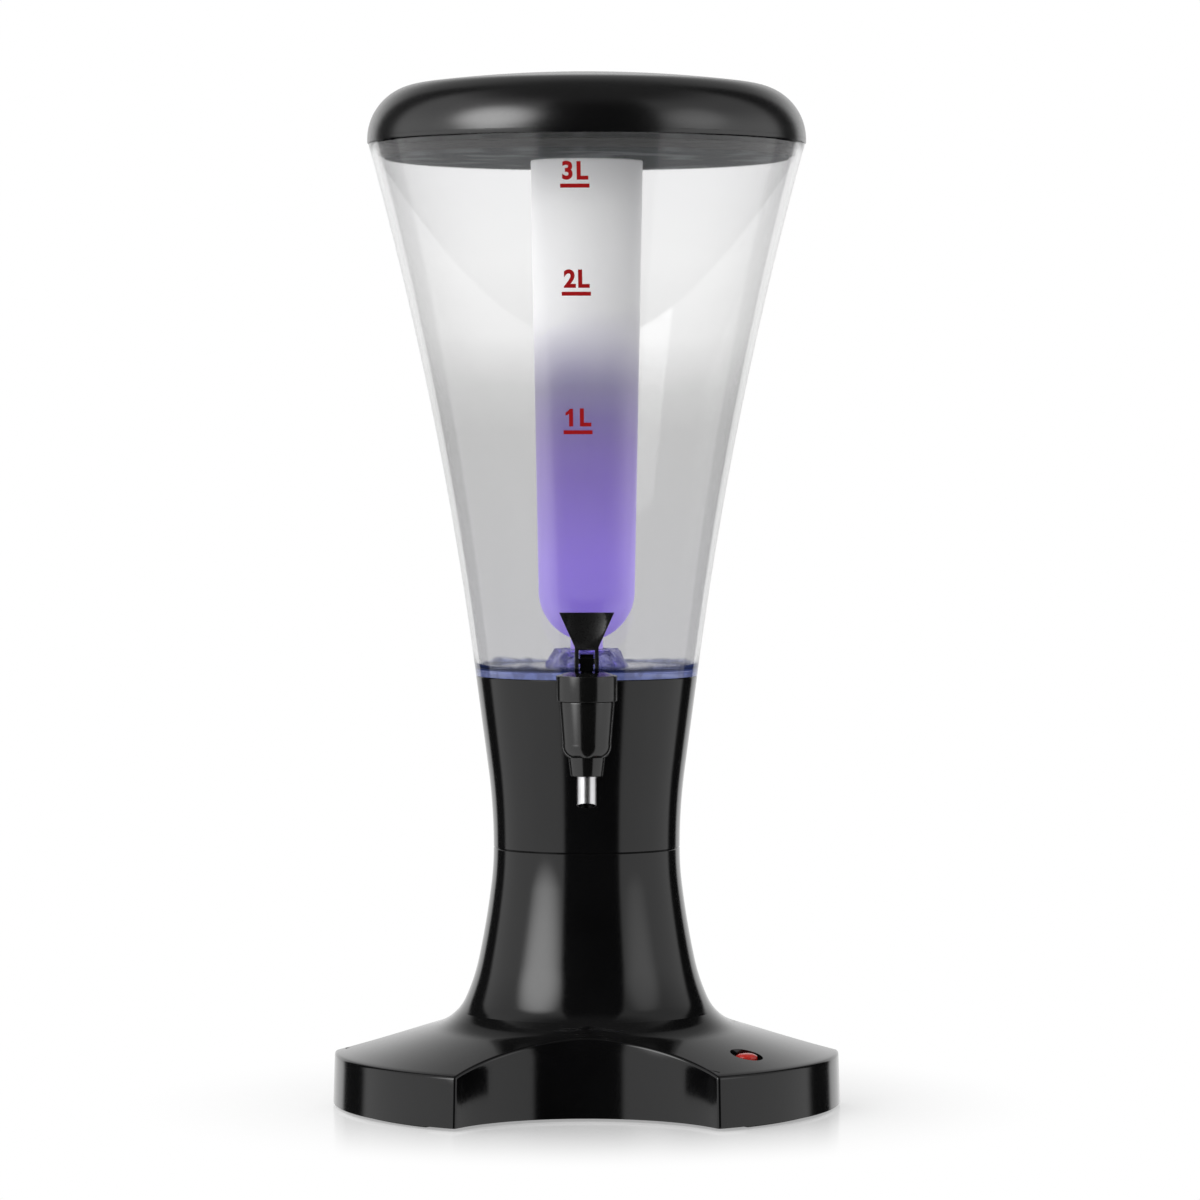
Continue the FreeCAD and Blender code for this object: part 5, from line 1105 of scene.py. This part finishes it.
@dataclass
class Tank(Assembly):
    """Clear tank with its level marks and the crown on its floor."""

    body: str = "container"
    sweep: float = 1800.0
    wall: float = 2.5
    marks: Sequence[tuple[str, float]] = (("1L", 313.2), ("2L", 375.4), ("3L", 423.3))
    mark_turn: float = -3.2
    letter: float = 8.0
    bar: Point = (13.2, 1.8)
    one: Sequence[Point] = (
        (0.2, 0.0), (0.43, 0.0), (0.43, 1.0), (0.25, 1.0), (0.14, 0.87), (0.0, 0.8), (0.0, 0.61),
        (0.12, 0.66), (0.2, 0.72),
    )

    def outer_arc(self) -> list[Point]:
        """Points of the outer wall from the floor up to the rim."""
        return [(FLOOR_R, FLOOR_Z)] + bend((FLOOR_R, FLOOR_Z), (RIM_R, RIM_Z), self.sweep, False, 48)

    def outer_radius(self, height: float) -> float:
        """Radius of the outer wall at a height, in mm."""
        points = self.outer_arc()
        for (r0, z0), (r1, z1) in zip(points, points[1:]):
            if z0 <= height <= z1:
                return r0 + (r1 - r0) * (height - z0) / (z1 - z0)
        return points[-1][0]

    def vessel(self) -> bpy.types.Object:
        """Tank wall, floor and the ring that sits in the neck, with the outlet drilled."""
        outer = self.outer_arc()[:-1] + [(101.36, 446.5), (101.1, 446.9), (100.8, 447.0)]
        inner = [(99.6, 447.0), (99.2, 446.8), (99.0, 446.4)]
        inner += bend((99.0, 446.4), (49.95, 206.4), self.sweep + self.wall, True, 44)
        floor = bend((49.95, 206.4), (46.6, 203.3), 3.4, False, 6) + [(20.0, 203.3), (0.0, 203.3)]
        under = [
            (0.0, 200.0), (46.05, 200.0), (46.05, 192.0), (48.45, 192.0), (48.45, 194.8), (47.25, 194.8),
            (47.25, 197.2), (48.45, 197.2), (48.45, 200.0),
        ]
        points = in_metres(under + outer + inner + floor)
        vessel = Bench.turn("tank_vessel", points, steps=192)
        Bench.drill(vessel, (0.0, -0.031, 0.2), 0.0046, 0.012)
        Bench.smooth(vessel, 35)
        return vessel

    def spigot(self) -> bpy.types.Object:
        """Outlet spigot under the floor."""
        outline = soften([
            (4.6, 189.7), (7.0, 189.7, 0.4), (7.0, 197.0), (10.0, 197.0), (10.0, 199.9), (4.6, 199.9),
        ])
        return Bench.turn("tank_outlet", in_metres(outline), (0.0, -0.031, 0.0), 48)

    def bosses(self) -> list[bpy.types.Object]:
        """The three bosses for the neck's screws: one is made, and two are copies with their own mesh."""
        outline = [(1.4, 190.05), (3.8, 190.05), (4.0, 190.25), (4.0, 199.95), (1.4, 199.95)]
        model = Bench.turn("tank_screw_boss", in_metres(outline), steps=40)
        bosses = []
        for _ in SCREW_TURNS[1:]:
            boss = model.copy()
            boss.data = model.data.copy()
            bpy.context.scene.collection.objects.link(boss)
            bosses.append(boss)
        bosses.append(model)
        for boss, turn in zip(bosses, SCREW_TURNS):
            boss.data.transform(Matrix.Translation(on_ring(SCREW_RING, turn)))
        return bosses

    def wrap(self, piece: bpy.types.Object, base: float) -> None:
        """Lay a flat mark, drawn in X and Y with its thickness in Z, onto the tank's outer wall."""
        for vertex in piece.data.vertices:
            height = base + vertex.co.y / MM
            radius = self.outer_radius(height) + 0.02 + max(vertex.co.z, 0.0) / MM
            angle = math.radians(self.mark_turn) + vertex.co.x / MM / radius
            vertex.co = (radius * math.sin(angle) * MM, -radius * math.cos(angle) * MM, height * MM)

    def figure(self, sign: str) -> bpy.types.Object:
        """A letter or a figure in bold strokes."""
        Bench.clear()
        bpy.ops.object.text_add(location=(0.0, 0.0, 0.0))
        letter = bpy.context.object
        letter.data.body = sign
        letter.data.size = self.letter * MM / 0.74
        letter.data.offset = 0.0004
        letter.data.extrude = 0.00006
        bpy.ops.object.convert(target="MESH")
        return letter

    def figure_one(self) -> bpy.types.Object:
        """The figure one with its flag."""
        mesh = bpy.data.meshes.new("figure_one")
        corners = [(x * self.letter * MM, y * self.letter * MM, 0.0) for x, y in self.one]
        mesh.from_pydata(corners, [], [tuple(range(len(corners)))])
        letter = bpy.data.objects.new("figure_one", mesh)
        bpy.context.scene.collection.objects.link(letter)
        Bench.hold(letter)
        bpy.ops.object.mode_set(mode="EDIT")
        bpy.ops.mesh.select_all(action="SELECT")
        bpy.ops.mesh.extrude_region_move(TRANSFORM_OT_translate={"value": (0.0, 0.0, 0.00012)})
        bpy.ops.mesh.select_all(action="SELECT")
        bpy.ops.mesh.normals_make_consistent(inside=False)
        bpy.ops.object.mode_set(mode="OBJECT")
        return letter

    def mark(self, text: str, height: float) -> bpy.types.Object:
        """One level mark: the figure over its bar.

        Args:
            text: What is written.
            height: Level of the bar in mm.

        Returns:
            The finished mark.
        """
        figure = self.figure_one() if text[0] == "1" else self.figure(text[0])
        figure.name = f"level_mark_{text}"
        letters = [(figure, -5.6), (self.figure(text[1]), 0.9)]
        for letter, left in letters:
            low = Vector([min(vertex.co[axis] for vertex in letter.data.vertices) for axis in range(3)])
            for vertex in letter.data.vertices:
                vertex.co += Vector((left * MM, 2.6 * MM, 0.0)) - low
        Bench.clear()
        bpy.ops.mesh.primitive_cube_add(size=1.0, location=(0.0, 0.0, 0.0))
        bar = bpy.context.object
        bar.scale = (self.bar[0] * MM, self.bar[1] * MM, 0.00012)
        Bench.settle(bar)
        bpy.ops.object.mode_set(mode="EDIT")
        bpy.ops.mesh.select_all(action="SELECT")
        bpy.ops.mesh.subdivide(number_cuts=7)
        bpy.ops.object.mode_set(mode="OBJECT")
        Bench.clear()
        for piece in (bar, letters[1][0], figure):
            piece.select_set(True)
        bpy.context.view_layer.objects.active = figure
        bpy.ops.object.join()
        self.wrap(figure, height)
        return figure

    def crystal(self) -> bpy.types.Object:
        """The crown: a ring of cut lumps round the tube's socket."""
        outline = [
            (0.0, 203.35), (19.6, 203.35), (19.9, 206.0), (18.2, 209.5), (16.6, 213.2), (13.2, 214.8),
            (10.4, 212.4), (7.9, 212.5), (7.9, 208.0), (0.0, 208.0),
        ]
        crown = Bench.turn("light_crown_crystal", in_metres(outline), steps=30)
        chance = random.Random(7)
        for vertex in crown.data.vertices:
            radius = math.hypot(vertex.co.x, vertex.co.y)
            if radius > 0.0095 and vertex.co.z > 0.2045:
                share = 1.0 + chance.uniform(-0.09, 0.0)
                vertex.co.x *= share
                vertex.co.y *= share
                vertex.co.z = min(max(vertex.co.z + chance.uniform(-0.0026, 0.0), 0.2034), 0.2125)
        Bench.hold(crown)
        bpy.ops.object.shade_flat()
        return crown

    def build(self) -> None:
        """Make the tank's pieces."""
        self.keep(self.vessel(), Kit.tank, "clear_tank", ["tank"])
        self.keep(self.spigot(), Kit.tank, "clear_tank")
        for index, boss in enumerate(self.bosses(), start=1):
            boss.name = f"tank_screw_boss_{index}"
            self.keep(boss, Kit.tank, "clear_tank")
        self.keep(self.crystal(), Kit.crown, "clear_crown", ["light_crown"])
        for text, height in self.marks:
            self.keep(self.mark(text, height), Kit.mark_red, "red_plastic")


@dataclass
class IceTube(Assembly):
    """Frosted tube that holds the ice."""

    body: str = "ice_tube"

    def build(self) -> None:
        """Make the tube."""
        outer = [(0.0, 208.0), (7.1, 208.0), (7.5, 208.4), (7.5, 217.6)]
        outer += bend((7.5, 217.6), (22.4, 239.5), 23.5, True, 20)
        rise = [(22.4 + 3.7 * k / 10, 239.5 + 199.9 * k / 10) for k in range(1, 11)]
        rise[-1] = (26.05, 438.9)
        inner = [(25.75, 439.35), (24.5, 439.4), (24.15, 439.1)]
        inner += [(24.1 - 3.7 * k / 10, 438.6 - 199.1 * k / 10) for k in range(1, 11)]
        inner += bend((20.4, 239.5), (0.0, 219.8), 20.41, False, 14)
        points = in_metres(outer + rise + inner)
        tube = Bench.turn("ice_tube_frosted", points, steps=128)
        self.keep(tube, Kit.tube, "clear_tube", ["ice_tube"])


@dataclass
class Lid(Assembly):
    """Domed lid with its underpan and gasket."""

    body: str = "lid"
    apex: float = 479.3
    dome: float = 600.0
    shoulder: float = 25.3
    wall: float = 2.5

    def arcs(self, inset: float, steps: int) -> list[Point]:
        """Dome and shoulder from the axis outwards, in mm, inset by a wall."""
        hub = self.apex - self.dome
        between = self.dome - self.shoulder
        x = LID_R - self.shoulder
        z = hub + math.sqrt(between * between - x * x)
        dome, shoulder = self.dome - inset, self.shoulder - inset
        meet = (x / between * dome, hub + (z - hub) / between * dome)
        points = [(0.0, self.apex - inset)] + bend((0.0, self.apex - inset), meet, dome, False, steps)
        return points + bend(meet, (LID_R - inset, z), shoulder, False, steps)

    def cover(self) -> bpy.types.Object:
        """The domed cover."""
        outer = self.arcs(0.0, 22)
        rim = [(LID_R, 449.0), (LID_R, 447.5), (101.75, 447.12), (101.4, RIM_Z), (99.8, RIM_Z), (99.4, 447.4)]
        inner = self.arcs(self.wall, 16)
        inner.reverse()
        points = in_metres(outer + rim + inner)
        return Bench.turn("lid_domed_cover", points, steps=192)

    def pan(self) -> bpy.types.Object:
        """The underpan with its plug."""
        outline = soften([
            (0.0, 439.4), (21.8, 439.4, 0.6), (21.8, 431.4, 0.5), (23.8, 431.4, 0.5), (23.8, 439.4, 0.3),
            (94.0, 439.4, 0.9), (94.0, 447.2, 0.4), (99.4, 447.2), (99.4, 449.7), (91.5, 449.7),
            (91.5, 441.9, 1.0), (0.0, 441.9),
        ])
        return Bench.turn("lid_underpan_tray", in_metres(outline), steps=160)

    def gasket(self) -> bpy.types.Object:
        """The soft ring round the underpan, with its lip."""
        outline = soften([
            (94.05, 441.0), (96.6, 441.0, 0.4), (96.9, 442.6, 0.3), (98.0, 443.4, 0.3), (98.05, 444.6, 0.3),
            (96.9, 445.0, 0.3), (94.05, 445.0),
        ])
        return Bench.turn("lid_gasket_ring", in_metres(outline), steps=160)

    def build(self) -> None:
        """Make the lid's pieces."""
        self.keep(self.cover(), Kit.lid_black, "lid_black", ["lid_cover"])
        self.keep(self.pan(), Kit.pan_grey, "lid_grey", ["lid_underpan"])
        self.keep(self.gasket(), Kit.rubber, "seal_rubber", ["lid_gasket"])


@dataclass
class Tap(Assembly):
    """Valve body, bonnet, collar and spout, with the stem and the handle."""

    body: str = "container"
    reach: float = 69.0
    shank_level: float = 181.0

    @property
    def hub(self) -> Place:
        """A point on the tap's upright axis."""
        return (0.0, -self.reach * MM, 0.0)

    def round_piece(self, name: str, outline: Sequence[Point], steps: int = 96) -> bpy.types.Object:
        """Turn an outline in mm about the tap's axis."""
        return Bench.turn(name, in_metres(outline), self.hub, steps)

    def valve_body(self) -> bpy.types.Object:
        """Tapered body with a rounded foot."""
        outer = [(9.0, 166.2)] + bend((9.0, 166.2), (11.2, 172.5), 7.0, True, 10)
        outer += [(12.72, 190.6), (12.6, 191.2), (12.2, 191.5)]
        inner = [(9.0, 191.5), (9.0, 172.2), (3.5, 172.2), (3.5, 170.0), (4.45, 170.0), (4.45, 166.2)]
        return self.round_piece("tap_valve_body", outer + inner)

    def shank(self) -> bpy.types.Object:
        """Flange and shank towards the neck."""
        outline = soften([
            (4.6, -56.9), (7.5, -56.9), (7.5, -55.5, 0.3), (10.5, -55.5, 0.8), (10.5, -52.5, 0.2),
            (7.5, -52.5), (7.5, -35.8, 0.5), (4.6, -35.8),
        ])
        points = in_metres(outline)
        return Bench.turn("tap_flange_and_shank", points, (0.0, 0.0, self.shank_level * MM), 72, Axis.LEVEL)

    def bonnet(self) -> bpy.types.Object:
        """Bonnet with its shallow cone."""
        outline = soften([
            (2.65, 201.1), (2.65, 204.5), (9.0, 204.5, 0.6), (14.0, 203.0, 0.5), (14.0, 191.5, 0.45),
            (8.95, 191.5), (8.95, 185.5), (6.6, 185.5), (6.6, 201.1),
        ])
        return self.round_piece("tap_bonnet_cap", outline)

    def collar(self) -> bpy.types.Object:
        """Collar under the body."""
        outline = soften([(4.45, 157.5), (7.4, 157.5, 0.5), (8.45, 166.2, 0.2), (4.45, 166.2)])
        return self.round_piece("spout_collar_nut", outline)

    def spout(self) -> bpy.types.Object:
        """Spout tube, cut aslant at its mouth."""
        outline = [(3.5, 141.0), (4.4, 141.0), (4.4, 170.0), (3.5, 170.0)]
        spout = self.round_piece("spout_chromed_tube", outline, 72)
        Bench.hold(spout)
        bpy.ops.object.mode_set(mode="EDIT")
        bpy.ops.mesh.select_all(action="SELECT")
        slope = Vector((0.0, 3.0, 8.8)).normalized()
        low_point = (0.0, (-self.reach + 4.4) * MM, 142.4 * MM)
        bpy.ops.mesh.bisect(plane_co=low_point, plane_no=slope, use_fill=True, clear_inner=True)
        bpy.ops.mesh.select_all(action="SELECT")
        bpy.ops.mesh.remove_doubles(threshold=1e-6)
        bpy.ops.object.mode_set(mode="OBJECT")
        Bench.smooth(spout, 30)
        return spout

    def build(self) -> None:
        """Make the tap's pieces."""
        self.keep(self.valve_body(), Kit.tap_black, "tap_black", ["tap_body"])
        self.keep(self.shank(), Kit.tap_black, "tap_black")
        self.keep(self.bonnet(), Kit.tap_black, "tap_black", ["tap_bonnet"])
        self.keep(self.collar(), Kit.tap_black, "tap_black", ["spout_collar"])
        self.keep(self.spout(), Kit.chrome, "chrome", ["spout_tube"])
        self.dress(Kit.spring, "tap_spring")
        stem = Bench.copy_of("tap_stem", "tap_stem_and_head", 0.35 * MM)
        self.keep(stem, Kit.gloss_black, "stem_black", ["tap_stem"], body="stem")
        self.dress(Kit.rubber, "seat_cup")
        self.dress(Kit.steel, "handle_pin")
        handle = Bench.copy_of("tap_handle", "tap_paddle_handle", 0.4 * MM)
        self.keep(handle, Kit.handle_black, "tap_black", ["tap_handle"], body="handle")


@dataclass
class Studio:
    """Floor, surroundings, lamp and camera."""

    eye: float = 0.316
    distance: float = 2.414
    aim: Place = (0.0062, 0.0, 0.235)
    lens: float = 155.5
    boxes: Sequence[tuple[float, float, float, float]] = ((-52.0, 23.0, 27.0, 4.4), (62.0, 22.0, 22.0, 0.8))

    def floor(self) -> None:
        """Pale floor that fades into the white background."""
        Bench.clear()
        bpy.ops.mesh.primitive_plane_add(size=14.0, location=(0.0, 0.0, 0.0))
        floor = bpy.context.object
        floor.name = "floor"
        material = bpy.data.materials.new("floor_white")
        material.use_nodes = True
        material.node_tree.nodes.clear()
        graph = Graph(material.node_tree)
        far = graph.length(graph.place())
        matt = graph.add(
            "ShaderNodeBsdfPrincipled",
            {"Base Color": (0.93, 0.93, 0.93, 1.0), "Roughness": 0.12, "Specular IOR Level": 0.16},
        )
        white = graph.add("ShaderNodeEmission", {"Color": (1.0, 1.0, 1.0, 1.0), "Strength": 1.0})
        mixed = graph.add(
            "ShaderNodeMixShader",
            {0: graph.spread(far, 0.09, 0.22, 0.3, 1.0, True), 1: matt.outputs[0], 2: white.outputs[0]},
        )
        graph.add("ShaderNodeOutputMaterial", {0: mixed.outputs[0]})
        floor.data.materials.append(material)
        floor.visible_glossy = False

    def surroundings(self) -> None:
        """White background; what glossy surfaces mirror is two soft boxes with dark gaps between them."""
        world = bpy.data.worlds.new("studio")
        bpy.context.scene.world = world
        world.use_nodes = True
        world.node_tree.nodes.clear()
        graph = Graph(world.node_tree)
        way = graph.add("ShaderNodeTexCoord").outputs["Generated"]
        parts = graph.add("ShaderNodeSeparateXYZ", {0: way}).outputs
        turn = graph.sum("ARCTAN2", parts[0], graph.sum("MULTIPLY", parts[1], -1.0))
        share = graph.sum("ADD", graph.sum("DIVIDE", turn, math.tau), 0.5)
        low = graph.ramp(share, self.stops(0.95, 0.9, 1.0, 1.0))
        high = graph.ramp(share, self.stops(0.7, 0.5, 0.25, 0.25))
        lift = graph.spread(parts[2], 0.15, 0.6, 0.0, 1.0, True)
        mirrored = graph.blend(lift, low, high)
        mirrored = graph.blend(graph.spread(parts[2], 0.72, 0.95, 0.0, 1.0, True), mirrored, (0.1, 0.1, 0.1))
        for azimuth, elevation, reach, strength in self.boxes:
            box = self.box(graph, way, azimuth, elevation, reach, strength)
            mirrored = graph.vector("ADD", mirrored, box)
        side = graph.spread(parts[0], -1.0, 1.0, 1.5, 0.2)
        plain = graph.add("ShaderNodeCombineXYZ", {0: side, 1: side, 2: side}).outputs[0]
        path = graph.add("ShaderNodeLightPath").outputs
        seen = graph.blend(path["Is Glossy Ray"], plain, mirrored)
        open_view = graph.sum("MAXIMUM", path["Is Camera Ray"], path["Is Transmission Ray"])
        colour = graph.blend(open_view, seen, (1.0, 1.0, 1.0))
        background = graph.add("ShaderNodeBackground", {0: colour, 1: 1.0})
        graph.add("ShaderNodeOutputWorld", {0: background.outputs[0]})

    @staticmethod
    def box(
        graph: Graph,
        way: bpy.types.NodeSocket,
        azimuth: float,
        elevation: float,
        reach: float,
        strength: float,
    ) -> bpy.types.NodeSocket:
        """A soft round light in the surroundings.

        Args:
            graph: Graph of the surroundings.
            way: Direction that is looked up.
            azimuth: Direction of the light in degrees, to the right of the camera.
            elevation: Its height in degrees.
            reach: Angle in degrees at which it has faded out.
            strength: Brightness of its middle.

        Returns:
            The brightness in the direction looked up.
        """
        turn, lift = math.radians(azimuth), math.radians(elevation)
        hub = (math.sin(turn) * math.cos(lift), -math.cos(turn) * math.cos(lift), math.sin(lift))
        near = graph.add("ShaderNodeVectorMath", {0: way, 1: hub}, operation="DOT_PRODUCT").outputs["Value"]
        return graph.spread(near, math.cos(math.radians(reach)), 1.0, 0.0, strength, True)

    @staticmethod
    def stops(left: float, right: float, behind: float, edge: float) -> list[tuple[float, Colour]]:
        """Brightness round the horizon, from behind past the left side, the camera and the right side."""
        gap = 0.015
        table = [
            (-180, behind), (-147, edge), (-143, gap), (-123, gap), (-119, left * 0.8), (-75, left),
            (-29, left), (-26, 0.004), (39, 0.004), (42, right), (75, right), (119, right * 0.8), (123, gap),
            (143, gap), (147, edge), (180, behind),
        ]
        return [(angle / 360 + 0.5, (value, value, value)) for angle, value in table]

    def lamp(self) -> None:
        """One large soft lamp from the front left."""
        Bench.clear()
        bpy.ops.object.light_add(type="AREA", location=(-1.5, -1.3, 1.5))
        lamp = bpy.context.object
        lamp.name = "soft_lamp"
        lamp.data.size = 1.2
        lamp.data.energy = 9.0
        lamp.visible_glossy = False
        lamp.rotation_euler = (Vector((0, 0, 0.25)) - lamp.location).to_track_quat("-Z", "Y").to_euler()

    def camera(self) -> None:
        """Camera at the photograph's height and distance."""
        data = bpy.data.cameras.new("camera")
        camera = bpy.data.objects.new("camera", data)
        bpy.context.scene.collection.objects.link(camera)
        camera.location = (0.0, -self.distance, self.eye)
        camera.rotation_euler = (Vector(self.aim) - camera.location).to_track_quat("-Z", "Y").to_euler()
        data.sensor_fit = "HORIZONTAL"
        data.sensor_width = 36.0
        data.lens = self.lens
        data.clip_end = 60.0
        bpy.context.scene.camera = camera

    def build(self) -> None:
        """Set up the studio."""
        self.floor()
        self.surroundings()
        self.lamp()
        self.camera()
        bpy.context.scene.view_settings.view_transform = "Standard"


def main() -> None:
    """Build the sub-assemblies in order."""
    logging.basicConfig(level=logging.INFO, format="%(message)s")
    Studio().build()
    for assembly in (Base(), Door(), PowerButton(), Neck(), Tank(), IceTube(), Lid(), Tap()):
        LOG.info("%s on %s", type(assembly).__name__, assembly.body)
        assembly.build()
    Bench.clear()


if __name__ == "__main__":
    main()
